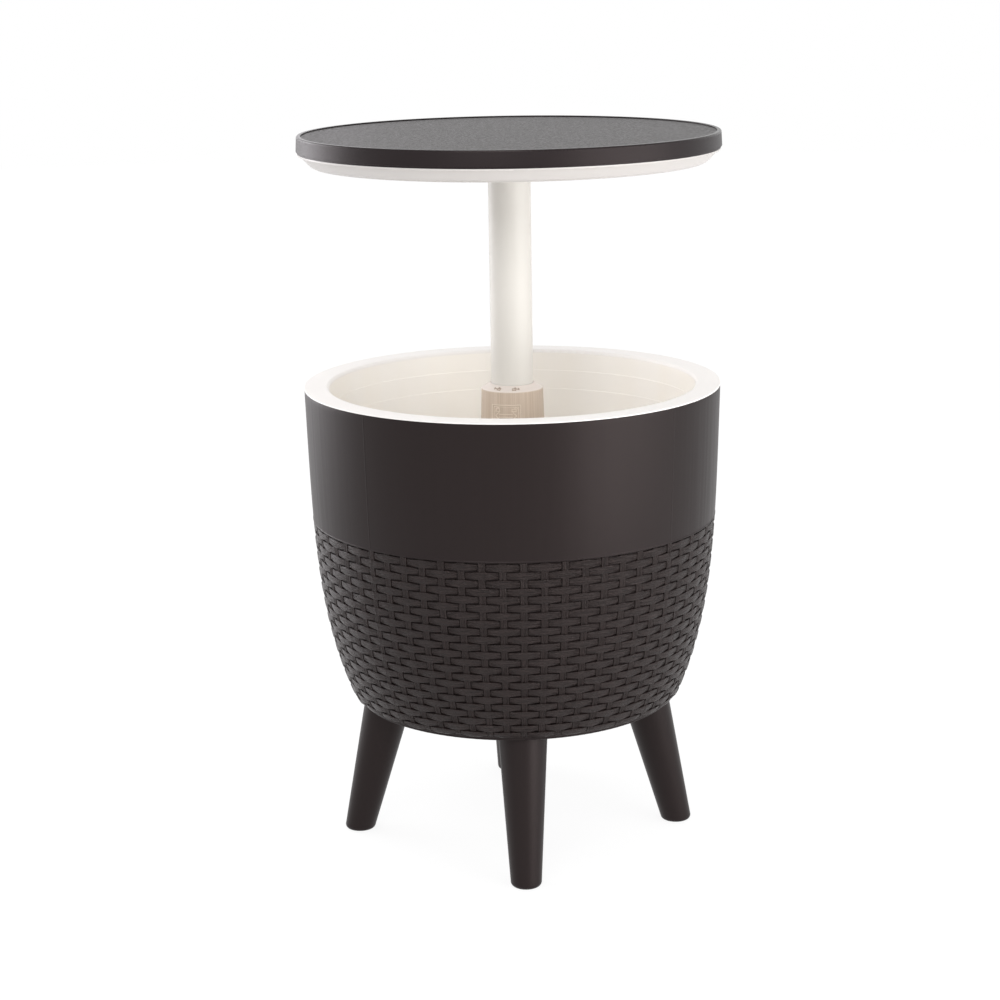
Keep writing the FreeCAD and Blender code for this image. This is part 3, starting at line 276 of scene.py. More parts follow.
def lid_resin():
    """Dark resin of the table top: moulded grain, duller on the face and smoother on its lip."""
    finish = Finish("lid_resin", {"IOR": 1.35, "Specular Tint": WARM_GLOSS})
    pebble = finish.noise(finish.place(), scale=330.0, roughness=0.6)
    grain = finish.noise(finish.place(), scale=950.0, detail=2.0, roughness=0.6)
    patch = finish.noise(finish.place(), scale=24.0)
    x, y = finish.parts(finish.place())[:2]
    radius = (x * x + y * y).math("SQRT")
    face = finish.above(LID_FACE)
    lip = finish.span(radius, LIP_INSIDE, LIP_INSIDE + LIP_SOFT)
    inner = face * (1 - lip)
    moulded = finish.span(grain, NOISE_LOW, NOISE_HIGH, 0.31, 0.45)
    pitted = inner * (pebble * 0.5 - 0.24)
    polished = face * lip * 0.14
    finish.rough(moulded + pitted - polished)
    finish.vary(srgb(21, 15, 17), patch, depth=0.10)
    finish.bump(grain, strength=0.4, distance=0.0004)
    finish.bump(pebble * inner, strength=0.8, distance=0.001)
    return finish.material


def pale_resin(name, colour, roughness, index):
    """Smooth pale resin with the slightest unevenness of moulding."""
    finish = Finish(name, {"IOR": index})
    swell = finish.noise(finish.place(), scale=9.0, detail=2.0)
    skin = finish.noise(finish.place(), scale=700.0, detail=2.0)
    finish.vary(colour, swell, depth=0.012)
    finish.dullness(skin, roughness - 0.03, roughness + 0.03)
    finish.bump(skin, strength=0.05, distance=0.0002)
    return finish.material


def ivory_resin():
    """Liner: ivory resin with soft upright bands of tone and a satin skin; its rim is painted
    darker and cooler than the inside, as painted shade.
    """
    finish = Finish("ivory_resin", {"IOR": 1.4})
    bands = finish.noise(finish.unrolled(2.2, 0.7), scale=1.6, detail=2.0)
    skin = finish.noise(finish.place(), scale=650.0, detail=2.0)
    shade = finish.span(bands, 0.35, 0.65)
    inside = finish.mix(shade, srgb(253, 249, 242), srgb(254, 251, 246))
    # Painted shade: the rim is painted darker and cooler than the liner's inside, toning down its
    # lit top.
    rim = finish.above(RIM_ROUND, soft=0.002)
    finish.colour(finish.mix(rim, inside, srgb(243, 240, 237)))
    finish.dullness(bands, 0.36, 0.44)
    finish.bump(skin, strength=0.05, distance=0.0002)
    return finish.material


def taupe_resin():
    """Column: taupe resin, finely striated upright, plainer and cooler on the collar's slope."""
    finish = Finish("taupe_resin", {"IOR": 1.46})
    lines = finish.noise(finish.unrolled(46.0, 3.0), scale=1.0, detail=4.0, roughness=0.7)
    broad = finish.noise(finish.unrolled(11.0, 1.0), scale=1.0, detail=2.0)
    tone = finish.ramp(lines, [
        (0.28, srgb(173, 155, 137)), (0.50, srgb(195, 178, 161)), (0.72, srgb(211, 197, 183))])
    worn = finish.span(broad, 0.4, 0.7, to_high=0.45)
    striped = finish.mix(worn, tone, srgb(211, 196, 182))
    slope = finish.above(COLLAR_EDGE)
    finish.colour(finish.mix(slope, striped, srgb(227, 217, 209)))
    finish.dullness(lines, 0.46, 0.56)
    finish.bump(lines * (1 - slope), strength=0.22, distance=0.0006)
    return finish.material


def mark_resin():
    """Marks in relief: painted paler than the column on its side as a painted highlight, and
    darker than the collar on its slope as painted shade.
    """
    finish = Finish("mark_resin", {"IOR": 1.46})
    wear = finish.noise(finish.place(), scale=900.0, detail=2.0)
    # Painted highlight: the marks on the column's side are painted paler than the column.
    side = finish.mix(wear, srgb(214, 200, 184), srgb(228, 216, 202))
    slope = finish.above(COLLAR_EDGE)
    # Painted shade: the marks on the slope are painted darker than the collar.
    finish.colour(finish.mix(slope, side, srgb(180, 164, 151)))
    finish.dullness(wear, 0.38, 0.52)
    return finish.material


def grey_acetal():
    """Waxy grey resin of bush, cam and lock ring, with fine turning marks."""
    finish = Finish("grey_acetal", {"Roughness": 0.34, "IOR": 1.48})
    turning = finish.noise(finish.unrolled(2.0, 2600.0), scale=1.0, detail=2.0)
    finish.vary(srgb(104, 106, 110), turning, depth=0.05)
    finish.bump(turning, strength=0.10, distance=0.0002)
    return finish.material


def metal(name, colour, roughness, scale_round, scale_up):
    """Drawn, turned or plated metal with fine directional marks."""
    finish = Finish(name, {"Metallic": 1.0})
    marks = finish.noise(finish.unrolled(scale_round, scale_up), scale=1.0, roughness=0.6)
    finish.vary(colour, marks, depth=0.08)
    finish.dullness(marks, roughness - 0.08, roughness + 0.10)
    finish.bump(marks, strength=0.08, distance=0.0002)
    return finish.material


def seal_rubber():
    """Matt black rubber, slightly dusty."""
    finish = Finish("seal_rubber", {"IOR": 1.5})
    dust = finish.noise(finish.place(), scale=260.0, detail=4.0, roughness=0.7)
    finish.vary(srgb(34, 34, 35), dust, depth=0.25)
    finish.dullness(dust, 0.66, 0.86)
    finish.bump(dust, strength=0.12, distance=0.0003)
    return finish.material


finishes = {
    "graphite_resin": graphite_resin(),
    "woven_resin": woven_resin(),
    "lid_resin": lid_resin(),
    "white_resin": pale_resin("white_resin", srgb(205, 201, 198), 0.38, 1.42),
    "post_resin": pale_resin("post_resin", srgb(217, 214, 208), 0.42, 1.38),
    "ivory_resin": ivory_resin(),
    "taupe_resin": taupe_resin(),
    "mark_resin": mark_resin(),
    "grey_acetal": grey_acetal(),
    "aluminium_tube": metal("aluminium_tube", srgb(200, 202, 205), 0.34, 160.0, 6.0),
    "zinc_steel": metal("zinc_steel", srgb(184, 187, 190), 0.30, 30.0, 900.0),
    "brass_insert": metal("brass_insert", srgb(205, 170, 105), 0.28, 20.0, 1500.0),
    "seal_rubber": seal_rubber(),
}

for part in frame["record"]["subparts"]:
    node = frame["nodes"][part["node"]]
    for slot in node.material_slots:
        slot.material = finishes[part["material_slot"]]


# Building meshes.

SHARP_TURN = math.radians(40)


class Form:
    """The points and faces of a piece that is built up bit by bit, with its points' grain."""

    def __init__(self):
        self.points = []
        self.faces = []
        self.grain = []

    def add_points(self, points, grain=()):
        """Take in points with their grain, and give the number of the first one."""
        first = len(self.points)
        self.points.extend(points)
        self.grain.extend(grain)
        return first


def turned_point(radius, turn, height):
    """A point in metres from its radius, its turn round the axis and its height."""
    return [radius * math.cos(turn) * MM, radius * math.sin(turn) * MM, height * MM]


def grid_faces(columns, rows, start=0, close_columns=False, close_rows=False):
    """Faces of a grid of points that runs by columns; closing it joins the last to the first."""
    faces = []
    for column in range(columns if close_columns else columns - 1):
        here = start + column * rows
        beside = start + (column + 1) % columns * rows
        for row in range(rows if close_rows else rows - 1):
            after = (row + 1) % rows
            faces.append((here + row, beside + row, beside + after, here + after))
    return faces


def grid_edge(columns, rows):
    """Numbers of the points round the edge of a grid, in order."""
    first_row = [column * rows for column in range(columns)]
    last_column = [(columns - 1) * rows + row for row in range(1, rows)]
    last_row = [column * rows + rows - 1 for column in range(columns - 2, -1, -1)]
    first_column = list(range(rows - 2, 0, -1))
    return first_row + last_column + last_row + first_column


def add_item(name, data):
    """An object for a mesh, a lamp or a camera, put into the scene."""
    item = bpy.data.objects.new(name, data)
    bpy.context.scene.collection.objects.link(item)
    return item


def make_piece(name, form, finish, body):
    """A mesh piece in its finish that rides on a body; the form's grain says how fibres run."""
    mesh = bpy.data.meshes.new(name)
    mesh.from_pydata(form.points, [], form.faces)
    mesh.update()
    mesh.polygons.foreach_set("use_smooth", [True] * len(mesh.polygons))
    if form.grain:
        layer = mesh.attributes.new("grain", "FLOAT_VECTOR", "POINT")
        layer.data.foreach_set("vector", np.asarray(form.grain, np.float32).ravel())
    mesh.materials.append(finishes[finish])
    item = add_item(name, mesh)
    mesh.set_sharp_from_angle(angle=SHARP_TURN)
    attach(item, body)
    return item


# The shell's outside, as its solid has it: a straight draft, a belly that draws in towards the
# foot, and a rounded foot. Its underside is open inside the ledge's radius.

shell_low, shell_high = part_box("outer_shell")
SHELL_TOP = shell_high.z / MM
SHELL_FOOT = shell_low.z / MM
SHELL_RADIUS = shell_high.x / MM
SHELL_DRAFT = 10
SHELL_BELLY = 38
BELLY_POWER = 4
SHELL_ROUND = 8
SHELL_WALL = 3.5
SHELL_LEDGE = 177.5
SIDE_ROWS = 380
FOOT_ROWS = 24
LEAN_STEP = 0.5
NORMAL_STEP = 0.3

# The woven relief: rows of strips over and under upright stakes, on a lowered ground.

STAKES = 64
ROWS = 23
WEAVE_TOP = 392.6
ROW_PITCH = 9.41
WEAVE_FOOT = WEAVE_TOP - ROWS * ROW_PITCH
GROUND = -2.6
BURIED = GROUND - 0.1
STAKE_TURN = 2 * math.pi / STAKES
STRIP_HALF = math.radians(4.57)
STAKE_HALF = math.radians(0.98)


def shell_radius(height):
    """Outer radius of the shell's side at a height, before its foot is rounded."""
    share = (SHELL_TOP - height) / (SHELL_TOP - SHELL_FOOT)
    return SHELL_RADIUS - SHELL_DRAFT * share - SHELL_BELLY * share ** BELLY_POWER


def foot_lean():
    """How far the shell's side leans inwards at its foot."""
    rise = shell_radius(SHELL_FOOT + LEAN_STEP) - shell_radius(SHELL_FOOT)
    return math.atan(rise / LEAN_STEP)


def shell_outline():
    """Outside of the shell from its foot up, as three rows: the way up it, radius and height.

    The way is the height on the side, and goes on by length round the foot."""
    lean = foot_lean()
    reach = SHELL_ROUND / math.tan((math.pi / 2 + lean) / 2)
    centre = (shell_radius(SHELL_FOOT) - reach, SHELL_FOOT + SHELL_ROUND)
    start = centre[1] - SHELL_ROUND * math.sin(lean)
    places = [(height, shell_radius(height), height)
              for height in np.linspace(SHELL_TOP, start, SIDE_ROWS)]
    for angle in np.linspace(lean, math.pi / 2, FOOT_ROWS)[1:]:
        places.append((start - SHELL_ROUND * (angle - lean),
                       centre[0] + SHELL_ROUND * math.cos(angle),
                       centre[1] - SHELL_ROUND * math.sin(angle)))
    return np.array(places)[::-1].T


WAYS, RADII, HEIGHTS = shell_outline()


def on_shell(angle, way, lift):
    """Points on the shell's outside, lifted off it along its normal, in metres."""
    angle, way, lift = np.broadcast_arrays(angle, way, lift)
    ahead, behind = way + NORMAL_STEP, way - NORMAL_STEP
    outwards = np.interp(ahead, WAYS, RADII) - np.interp(behind, WAYS, RADII)
    upwards = np.interp(ahead, WAYS, HEIGHTS) - np.interp(behind, WAYS, HEIGHTS)
    length = np.hypot(outwards, upwards)
    radius = np.interp(way, WAYS, RADII) + lift * upwards / length
    height = np.interp(way, WAYS, HEIGHTS) - lift * outwards / length
    return np.stack([radius * np.cos(angle), radius * np.sin(angle), height], -1) * MM


# The shell's wall. Each pair is a rise over the height that its list belongs to, and a lift off
# the plain outside. Four mould seams run down it and on over the strips and stakes.

BAND_FOOT = WEAVE_TOP + 2.4
RIM_EDGE = ((0, -1.1), (-0.25, -0.45), (-0.6, -0.12), (-1.1, 0))
BEAD = ((0.5, 0), (0.2, 0.25), (-0.3, 0.45), (-0.8, 0.42),
        (-1.3, 0.1), (-1.6, -0.5), (-1.7, GROUND))
WEAVE_EDGE = ((0.3, GROUND), (0, GROUND + 0.3), (-0.3, -0.3), (-0.8, 0))
INSIDE_ROWS = 40
WALL_SIDES = 320
SEAMS = [math.radians(turn) for turn in (-135, -45, 45, 135)]
SEAM_HALF = math.radians(0.12)
SEAM_PLACES = (-3, -1, 0, 1, 3)
SEAM_RISE = 0.16
SAME_TURN = 1e-6


def on_seam(turn):
    """Whether a mould seam runs down the shell at this turn."""
    return any(abs(math.remainder(turn - seam, 2 * math.pi)) < SAME_TURN for seam in SEAMS)


def stepped(height, pairs):
    """A stretch of the wall's section from its pairs."""
    return [(height + rise, lift) for rise, lift in pairs]


def even(high, low, rows, lift):
    """A stretch of the wall's section that runs down at one lift."""
    return [(way, lift) for way in np.linspace(high, low, rows)]


def wall_outside():
    """Outside of the wall's section from rim to foot, as ways and lifts."""
    return (stepped(SHELL_TOP, RIM_EDGE)
            + even(SHELL_TOP - 6, BAND_FOOT + 1, rows=26, lift=0)
            + stepped(BAND_FOOT, BEAD)
            + even(BAND_FOOT - 4, WEAVE_FOOT + 1, rows=60, lift=GROUND)
            + stepped(WEAVE_FOOT, WEAVE_EDGE)
            + even(WEAVE_FOOT - 1.5, WAYS[0], rows=6, lift=0))


def wall_inside():
    """Inside of the wall's section from foot to rim, as radii and heights."""
    low = SHELL_FOOT + SHELL_WALL
    side = [(shell_radius(height) - SHELL_WALL, height)
            for height in np.linspace(low, SHELL_TOP, INSIDE_ROWS)]
    return [(SHELL_LEDGE, SHELL_FOOT), (SHELL_LEDGE, low)] + side


def wall_turns():
    """Turns of the wall's upright lines: even ones, and closer ones over each mould seam."""
    turns = set(np.linspace(-math.pi, math.pi, WALL_SIDES, endpoint=False))
    reach = SEAM_PLACES[-1] * SEAM_HALF
    for seam in SEAMS:
        turns -= {turn for turn in turns if abs(turn - seam) < reach}
        turns |= {seam + place * SEAM_HALF for place in SEAM_PLACES}
    return sorted(turns)


def shell_wall():
    """The shell's wall: smooth band, a bead under it, the ground of the weave, foot and inside."""
    outside, inside, turns = wall_outside(), wall_inside(), wall_turns()
    form = Form()
    for turn in turns:
        seam_rise = SEAM_RISE if on_seam(turn) else 0
        for way, lift in outside:
            ridge = seam_rise if lift == 0 and way > BAND_FOOT else 0
            form.points.append(on_shell(turn, way, lift + ridge).tolist())
        for radius, height in inside:
            form.points.append(turned_point(radius, turn, height))
    rows = len(outside) + len(inside)
    facing_in = grid_faces(len(turns), rows, close_columns=True, close_rows=True)
    form.faces = [face[::-1] for face in facing_in]
    return make_piece("shell_wall", form, "graphite_resin", "tub")


# Strips. A strip's places run from its middle, 0, to its ends, 1. Its height is a share of the
# row's pitch, and its lift, drop and tilt are off the plain outside.

STRIP_PLACES = [0.18, 0.36, 0.54, 0.72, 0.88, 0.97, 1]
STRIP_MIDDLE = 0.955
STRIP_END = 0.78
TAPER_FROM = 0.2
TAPER_LENGTH = 0.45
STRIP_RISE = 0.2
STRIP_DIP = 1.2
DIP_FROM = 0.22
END_PLACES = [0.93, 0.97, 1]
END_SHARES = [1, 0.95, 0.82]
END_DROPS = [0, 0.1, 0.4]
SEAM_PLACE = 0.022
SEAM_ON_STRIP = 0.14
STRIP_ACROSS = np.array([-1, -0.9, -0.45, 0.45, 0.9, 1])
STRIP_CROWN = np.array([0.34, 0.07, 0, 0, 0.07, 0.34])
STRIP_DRIFT = 0.2
STRIP_TILT = 0.12
STRIP_TWIST = 0.14

# Stakes: the front's places across and its relief, and a shallow notch at every other ring.

STAKE_TOP = WEAVE_TOP + 0.5
STAKE_ACROSS = np.array([-1, -0.86, -0.62, -0.4, -0.2, 0, 0.2, 0.4, 0.62, 0.86, 1])
STAKE_RELIEF = np.array([-0.5, 0, 0.06, -0.24, 0, -0.24, 0, -0.24, 0.06, 0, -0.5])
STAKE_RISE = -0.6
STAKE_NOTCH = -0.12
SEAM_ON_STAKE = 0.32

CHANCE_FACTORS = (12.9898, 78.233, 37.719)
CHANCE_SPREAD = 43758.5453


def chance(*seeds):
    """A fixed number from 0 to 1 that looks random."""
    total = sum(seed * factor for seed, factor in zip(seeds, CHANCE_FACTORS))
    mixed = math.sin(total) * CHANCE_SPREAD
    return mixed - math.floor(mixed)


def smooth(share):
    """A soft step from 0 to 1."""
    share = np.clip(share, 0, 1)
    return share * share * (3 - 2 * share)


def strip_columns(seamed):
    """Where a strip's mesh columns lie, with each one's half height and lift."""
    half = [SEAM_PLACE] + STRIP_PLACES if seamed else STRIP_PLACES
    along = np.array([-place for place in reversed(half)] + [0] + half)
    reach = np.abs(along)
    taper = np.clip((reach - TAPER_FROM) / TAPER_LENGTH, 0, 1)
    height = STRIP_MIDDLE - (STRIP_MIDDLE - STRIP_END) * taper
    height = 0.5 * ROW_PITCH * height * np.interp(reach, END_PLACES, END_SHARES)
    lift = STRIP_RISE - STRIP_DIP * smooth((reach - DIP_FROM) / (1 - DIP_FROM))
    lift -= np.interp(reach, END_PLACES, END_DROPS)
    if seamed:
        lift += SEAM_ON_STRIP * (reach == 0)
    return along, height, lift


def add_strip(form, row, stake):
    """One strip: a front that bulges over its stake and dips at its ends, closed to the ground."""
    centre = FRONT + stake * STAKE_TURN
    middle = WEAVE_TOP - (row + 0.5) * ROW_PITCH
    along, half, lift = (column[:, None] for column in strip_columns(on_seam(centre)))
    own = chance(stake, row)
    drift = STRIP_DRIFT * (chance(row, stake, 3) - 0.5)
    tilt = STRIP_TILT * (own - 0.5) + STRIP_TWIST * (chance(row, stake, 5) - 0.5) * along
    way = middle + drift + half * STRIP_ACROSS
    turn = np.broadcast_to(centre + along * STRIP_HALF, way.shape)
    length = np.broadcast_to(along * STRIP_HALF * SHELL_RADIUS, way.shape)
    fibres = np.stack([length, way - middle, np.full(way.shape, own)], -1).reshape(-1, 3)
    front = on_shell(turn, way, lift - STRIP_CROWN + tilt).reshape(-1, 3)
    start = form.add_points(front.tolist(), fibres.tolist())
    form.faces.extend(grid_faces(*way.shape, start))

    edge = grid_edge(*way.shape)
    back = on_shell(np.take(turn, edge), np.take(way, edge), BURIED)
    ring = form.add_points(back.tolist(), fibres[edge].tolist())
    for index, corner in enumerate(edge):
        after = (index + 1) % len(edge)
        form.faces.append((start + corner, ring + index, ring + after, start + edge[after]))
    form.faces.append([ring + index for index in reversed(range(len(edge)))])


def weave_strips():
    """Rows of short strips, each over every other stake and behind the next ones' ends."""
    form = Form()
    for row in range(ROWS):
        for stake in range((row + 1) % 2, STAKES, 2):
            add_strip(form, row, stake)
    return make_piece("weave_strips", form, "woven_resin", "tub")


def add_stake(form, stake):
    """One upright stake, with fine ridges on its front and its back in the ground."""
    turn = FRONT + stake * STAKE_TURN
    own = chance(stake, 7, 1)
    seam_rise = SEAM_ON_STAKE if on_seam(turn) else 0
    front = STAKE_RELIEF + seam_rise * (STAKE_ACROSS == 0)
    offsets = np.concatenate([[-1], STAKE_ACROSS, [1]]) * STAKE_HALF
    ways = np.linspace(STAKE_TOP, STAKE_TOP - ROWS * ROW_PITCH, 2 * ROWS + 1)
    start = len(form.points)
    for step, way in enumerate(ways):
        notch = 0 if step % 2 else STAKE_NOTCH
        lift = np.concatenate([[BURIED], front + STAKE_RISE + notch, [BURIED]])
        fibres = [[way, offset * SHELL_RADIUS, own] for offset in offsets]
        form.add_points(on_shell(turn + offsets, way, lift).tolist(), fibres)
    count = len(offsets)
    last = start + (len(ways) - 1) * count
    form.faces.extend(grid_faces(len(ways), count, start, close_rows=True))
    form.faces.append([start + index for index in range(count)])
    form.faces.append([last + index for index in reversed(range(count))])


def weave_stakes():
    """Upright stakes, seen between the strips."""
    form = Form()
    for stake in range(STAKES):
        add_stake(form, stake)
    return make_piece("weave_stakes", form, "woven_resin", "tub")


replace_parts(shell_wall(), "outer_shell")
weave_strips()
weave_stakes()


# Marks in relief on the collar: a framed panel with two padlocks and a double arrow, and a
# padlock and an arrow twice on the slope above it. Drawn by arc length and height.

COLLAR_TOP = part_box("column_sleeve")[1].z / MM
COLLAR_RADIUS = 36
COLLAR_MOUTH = 26
COLLAR_CROWN = 5.6
COLUMN_FALL = 7.5 / 247.1
VIEW_TURN = math.radians(-92.33)

BAR_SUNK = -0.15
BAR_SHOULDER = 0.7
BAR_MITRE = 0.5
SIGN_WIDTH = 0.9

PANEL_MIDDLE = math.radians(-12.4) * COLLAR_RADIUS
PANEL_HALF = 17
PANEL_TOP = 528.5
PANEL_FOOT = 484
PANEL_STEPS = 16
PANEL_INSET = 2.4
PANEL_INSET_TOP = 2.2
PANEL_LOCK_DROP = 5.0
PANEL_LOCK_ASIDE = 9.5
PANEL_LOCK_SIZE = 4.6
ARROW_DROP = 12.5
ARROW_GAP = 1.7
ARROW_HALF = 8
CHEVRON_FROM = 8.2
CHEVRON_TO = 12.2
CHEVRON_HALF = 3.9

# Turn of each sign on the slope, whether its padlock is open, and the way its arrow points.
SLOPE_SIGNS = ((-29, False, -1), (3.5, True, 1))
SLOPE_LOCK_UP = 5.6
SLOPE_LOCK_SIZE = 4.3
SLOPE_ARROW_UP = 5.4
SLOPE_ARROW_FROM = 3.1
SLOPE_ARROW_LENGTH = 4.4
SLOPE_ARROW_HEAD = 1.4


def on_column(across, up, lift):
    """A point on the column's side from arc length and height, at a lift off it."""
    radius = COLLAR_RADIUS + (COLLAR_TOP - COLLAR_CROWN - up) * COLUMN_FALL + lift
    return turned_point(radius, VIEW_TURN + across / COLLAR_RADIUS, up)


def on_slope(across, up, lift):
    """A point on the collar's sloping top, at a lift off it; up is the way in from its edge."""
    inwards = COLLAR_RADIUS - COLLAR_MOUTH
    length = math.hypot(inwards, COLLAR_CROWN)
    share = up / length
    radius = COLLAR_RADIUS - inwards * share + lift * COLLAR_CROWN / length
    height = COLLAR_TOP - COLLAR_CROWN * (1 - share) + lift * inwards / length
    return turned_point(radius, VIEW_TURN + across / COLLAR_RADIUS, height)


def add_bar(form, on_surface, line, closed, width, rise):
    """A low rounded bar along a line drawn on a surface."""
    section = ((-1, BAR_SUNK), (-0.9, rise * BAR_SHOULDER), (-0.35, rise),
               (0.35, rise), (0.9, rise * BAR_SHOULDER), (1, BAR_SUNK))
    path = [Vector(point) for point in line]
    count = len(path)
    start = len(form.points)
    for index, point in enumerate(path):
        before = path[index - 1] if index or closed else point
        after = path[(index + 1) % count] if index + 1 < count or closed else point
        come, leave = point - before, after - point
        ahead = leave.normalized() if leave.length else come.normalized()
        behind = come.normalized() if come.length else ahead
        way = (ahead + behind).normalized()
        side = Vector((-way.y, way.x)) * (width / 2) / max(BAR_MITRE, way.dot(ahead))
        for share, lift in section:
            spot = point + side * share
            form.points.append(on_surface(spot.x, spot.y, lift))
    size = len(section)
    for index in range(count if closed else count - 1):
        here, beyond = start + index * size, start + (index + 1) % count * size
        for corner in range(size):
            after = (corner + 1) % size
            form.faces.append((beyond + corner, beyond + after, here + after, here + corner))
    if not closed:
        last = start + (count - 1) * size
        form.faces.append([start + corner for corner in range(size)])
        form.faces.append([last + corner for corner in reversed(range(size))])


def box_line(left, right, low, high, steps):
    """A closed rectangle with its level sides divided, so that it follows a curved surface."""
    lower = [(x, low) for x in np.linspace(left, right, steps)]
    upper = [(x, high) for x in np.linspace(right, left, steps)]
    return lower + upper


def add_padlock(form, on_surface, x, y, size, is_open, rise):
    """A plain padlock: a body and a shackle, swung aside when open."""
    top = y + 0.1 * size
    body = box_line(x - 0.5 * size, x + 0.5 * size, y - 0.55 * size, top, steps=4)
    middle = x + 0.45 * size if is_open else x
    bow = [(middle + 0.32 * size * math.cos(turn), top + 0.38 * size * math.sin(turn))
           for turn in np.linspace(0, math.pi, 9)]
    add_bar(form, on_surface, body, closed=True, width=SIGN_WIDTH, rise=rise)
    add_bar(form, on_surface, bow, closed=False, width=SIGN_WIDTH, rise=rise)


def add_chevron(form, on_surface, x, y, reach, half, width, rise):
    """Two short bars that meet in a point at x; a negative reach points the other way."""
    tip = [(x - reach, y + half), (x, y), (x - reach, y - half)]
    add_bar(form, on_surface, tip, closed=False, width=width, rise=rise)


def add_shaft(form, on_surface, start, end, y, steps, width, rise):
    """A level bar from one arc length to another."""
    line = [(x, y) for x in np.linspace(start, end, steps)]
    add_bar(form, on_surface, line, closed=False, width=width, rise=rise)


def add_panel(form):
    """The panel on the column's side: a double frame round two padlocks and a double arrow."""
    left, right = PANEL_MIDDLE - PANEL_HALF, PANEL_MIDDLE + PANEL_HALF
    outer = box_line(left, right, PANEL_FOOT, PANEL_TOP, PANEL_STEPS)
    inner = box_line(left + PANEL_INSET, right - PANEL_INSET,
                     PANEL_FOOT + PANEL_INSET, PANEL_TOP - PANEL_INSET_TOP, PANEL_STEPS)
    add_bar(form, on_column, outer, closed=True, width=1.1, rise=0.9)
    add_bar(form, on_column, inner, closed=True, width=0.7, rise=0.6)
    for way, is_open in ((-1, False), (1, True)):
        x = PANEL_MIDDLE + way * PANEL_LOCK_ASIDE
        y = PANEL_TOP - PANEL_LOCK_DROP
        add_padlock(form, on_column, x, y, PANEL_LOCK_SIZE, is_open, rise=0.8)
    level = PANEL_TOP - ARROW_DROP
    for gap in (-ARROW_GAP, ARROW_GAP):
        add_shaft(form, on_column, PANEL_MIDDLE - ARROW_HALF, PANEL_MIDDLE + ARROW_HALF,
                  level + gap, steps=12, width=0.8, rise=0.8)
    for way in (-1, 1):
        add_chevron(form, on_column, PANEL_MIDDLE + way * CHEVRON_TO, level,
                    way * (CHEVRON_TO - CHEVRON_FROM), CHEVRON_HALF, width=1.0, rise=0.9)


def add_slope_signs(form):
    """Two signs on the collar's slope: a closed padlock and an open one, each with an arrow."""
    for turn, is_open, way in SLOPE_SIGNS:
        x = math.radians(turn) * COLLAR_RADIUS
        start = x + way * SLOPE_ARROW_FROM
        end = start + way * SLOPE_ARROW_LENGTH
        add_padlock(form, on_slope, x, SLOPE_LOCK_UP, SLOPE_LOCK_SIZE, is_open, rise=0.9)
        add_shaft(form, on_slope, start, end, SLOPE_ARROW_UP, steps=8, width=SIGN_WIDTH, rise=0.9)
        add_chevron(form, on_slope, end, SLOPE_ARROW_UP, way * SLOPE_ARROW_HEAD,
                    SLOPE_ARROW_HEAD, width=SIGN_WIDTH, rise=0.9)


def collar_marks():
    """The framed panel on the column's side and the small signs on the slope above it."""
    form = Form()
    add_panel(form)
    add_slope_signs(form)
    return make_piece("collar_marks", form, "mark_resin", "tub")


collar_marks()


# Floor, light and camera.

STUDIO_NEAR = -0.8
STUDIO_FAR = 0.6
STUDIO_DIM = 0.68
STUDIO_BRIGHT = 0.98

FLOOR_RADIUS = 9
FLOOR_SIDES = 96
FLOOR_WHITE = (0.72, 0.72, 0.72, 1)
FLOOR_GLOW = 1.12
FLOOR_GLOW_SHARE = 0.78

WHITE = (1, 1, 1, 1)


def shade_world():
    """Studio round the table: brighter behind it than near the camera, white where it is seen."""
    world = bpy.data.worlds.new("studio")
    bpy.context.scene.world = world
    nodes = Nodes(world)
    y = nodes.parts(nodes.node("ShaderNodeTexCoord").outputs["Generated"])[1]
    light = nodes.span(y, STUDIO_NEAR, STUDIO_FAR, STUDIO_DIM, STUDIO_BRIGHT)
    strength = light + (1 - light) * nodes.seen()
    background = nodes.node("ShaderNodeBackground", None, {"Color": WHITE, "Strength": strength})
    nodes.node("ShaderNodeOutputWorld", None, {"Surface": background.outputs[0]})


def floor_finish():
    """White floor that keeps a soft shadow."""
    material = bpy.data.materials.new("studio_floor")
    nodes = Nodes(material)
    matt = nodes.node("ShaderNodeBsdfDiffuse", None, {"Color": FLOOR_WHITE})
    glow = nodes.node("ShaderNodeEmission", None, {"Color": WHITE, "Strength": FLOOR_GLOW})
    mix = nodes.node("ShaderNodeMixShader", None, {
        0: nodes.seen() * FLOOR_GLOW_SHARE, 1: matt.outputs[0], 2: glow.outputs[0]})
    nodes.node("ShaderNodeOutputMaterial", None, {"Surface": mix.outputs[0]})
    return material


def lay_floor():
    """A wide round floor under the feet."""
    mesh = bpy.data.meshes.new("floor")
    turns = np.linspace(0, 2 * math.pi, FLOOR_SIDES, endpoint=False)
    edge = [(FLOOR_RADIUS * math.cos(turn), FLOOR_RADIUS * math.sin(turn), 0) for turn in turns]
    mesh.from_pydata(edge, [], [list(range(FLOOR_SIDES))])
    mesh.materials.append(floor_finish())
    floor = add_item("floor", mesh)


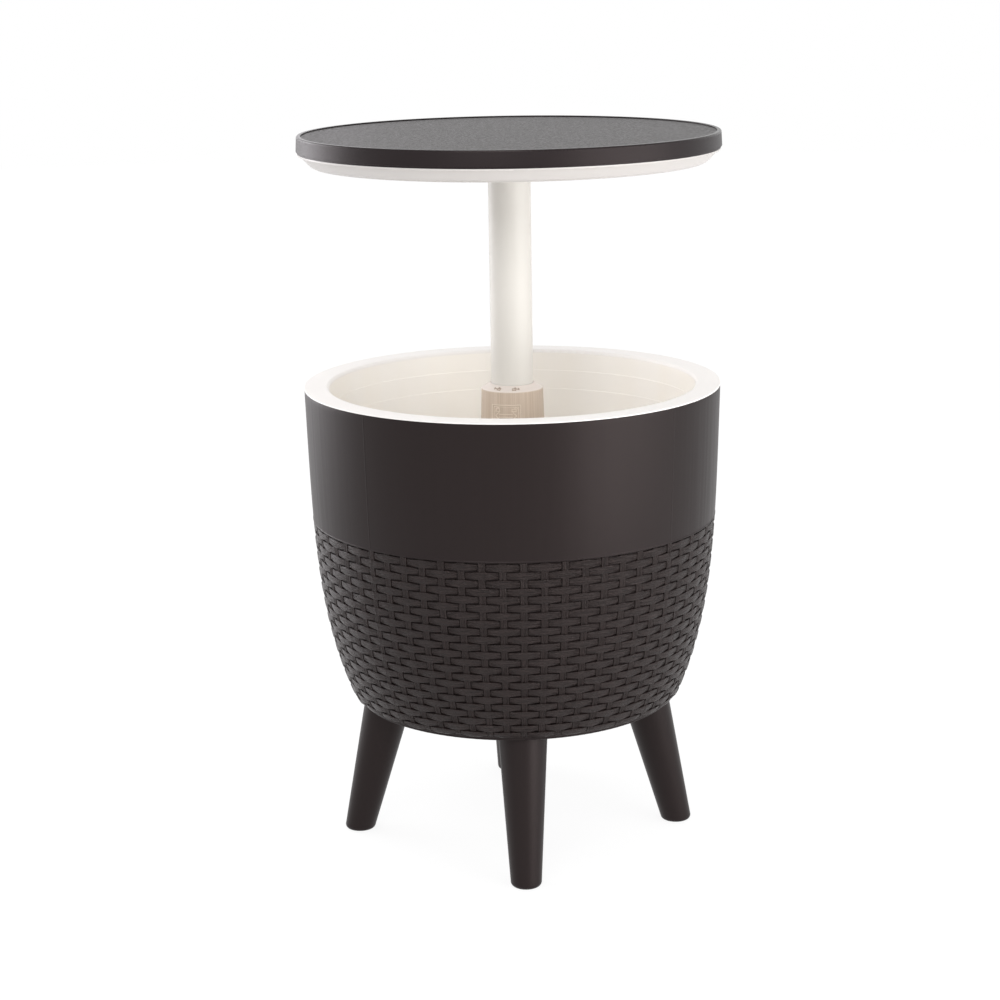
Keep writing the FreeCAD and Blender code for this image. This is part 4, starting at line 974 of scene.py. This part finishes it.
def softbox(name, place, aim, width, height, power, colour):
    """A large rectangular lamp turned towards a point."""
    lamp = bpy.data.lights.new(name, "AREA")
    lamp.shape = "RECTANGLE"
    lamp.size = width
    lamp.size_y = height
    lamp.energy = power
    lamp.color = colour
    item = add_item(name, lamp)
    item.location = place
    item.rotation_euler = (Vector(aim) - Vector(place)).to_track_quat("-Z", "Y").to_euler()


def set_camera():
    """The camera where the photograph was taken from."""
    turn, distance, height = math.radians(-2.33), 2.658, 1.0534
    pitch, yaw, roll = 0.2385, -0.0062, -0.0161
    forward = Vector((math.sin(yaw) * math.cos(pitch),
                      math.cos(yaw) * math.cos(pitch),
                      -math.sin(pitch)))
    level = Vector((math.cos(yaw), -math.sin(yaw), 0))
    up = level.cross(forward)
    right = math.cos(roll) * level + math.sin(roll) * up
    over = math.cos(roll) * up - math.sin(roll) * level
    axes = Matrix((right, over, -forward)).transposed().to_4x4()
    camera = add_item("camera", bpy.data.cameras.new("camera"))
    camera.data.lens = 83.07
    camera.data.sensor_width = 36
    camera.matrix_world = (Matrix.Rotation(turn, 4, "Z")
                           @ Matrix.Translation((0, -distance, height)) @ axes)
    bpy.context.scene.camera = camera


shade_world()
lay_floor()
softbox("overhead", (0.3, -0.5, 3.0), (0, 0, 0.5), 2.6, 2.6, 9, (1, 0.99, 0.98))
softbox("side_left", (-2.05, 1.3, 0.95), (0, 0, 0.85), 1.9, 1.7, 28, (0.98, 0.96, 1))
softbox("behind_left", (-0.75, 2.3, 1.15), (-0.2, 0, 0.85), 1.1, 0.7, 0.9, (0.98, 0.9, 1))
softbox("side_right", (1.56, -1.08, 0.52), (0, 0, 0.5), 1.9, 0.95, 18, (1, 0.985, 0.975))
softbox("low_right", (0.98, -0.98, 0.21), (0, -0.1, 0.24), 0.75, 0.4, 2.0, (1, 0.98, 0.97))
softbox("front_high", (-0.5, -2.15, 1.75), (0, 0.1, 0.5), 1.4, 0.8, 18, (1, 1, 1))
set_camera()
bpy.context.scene.view_settings.view_transform = "Standard"
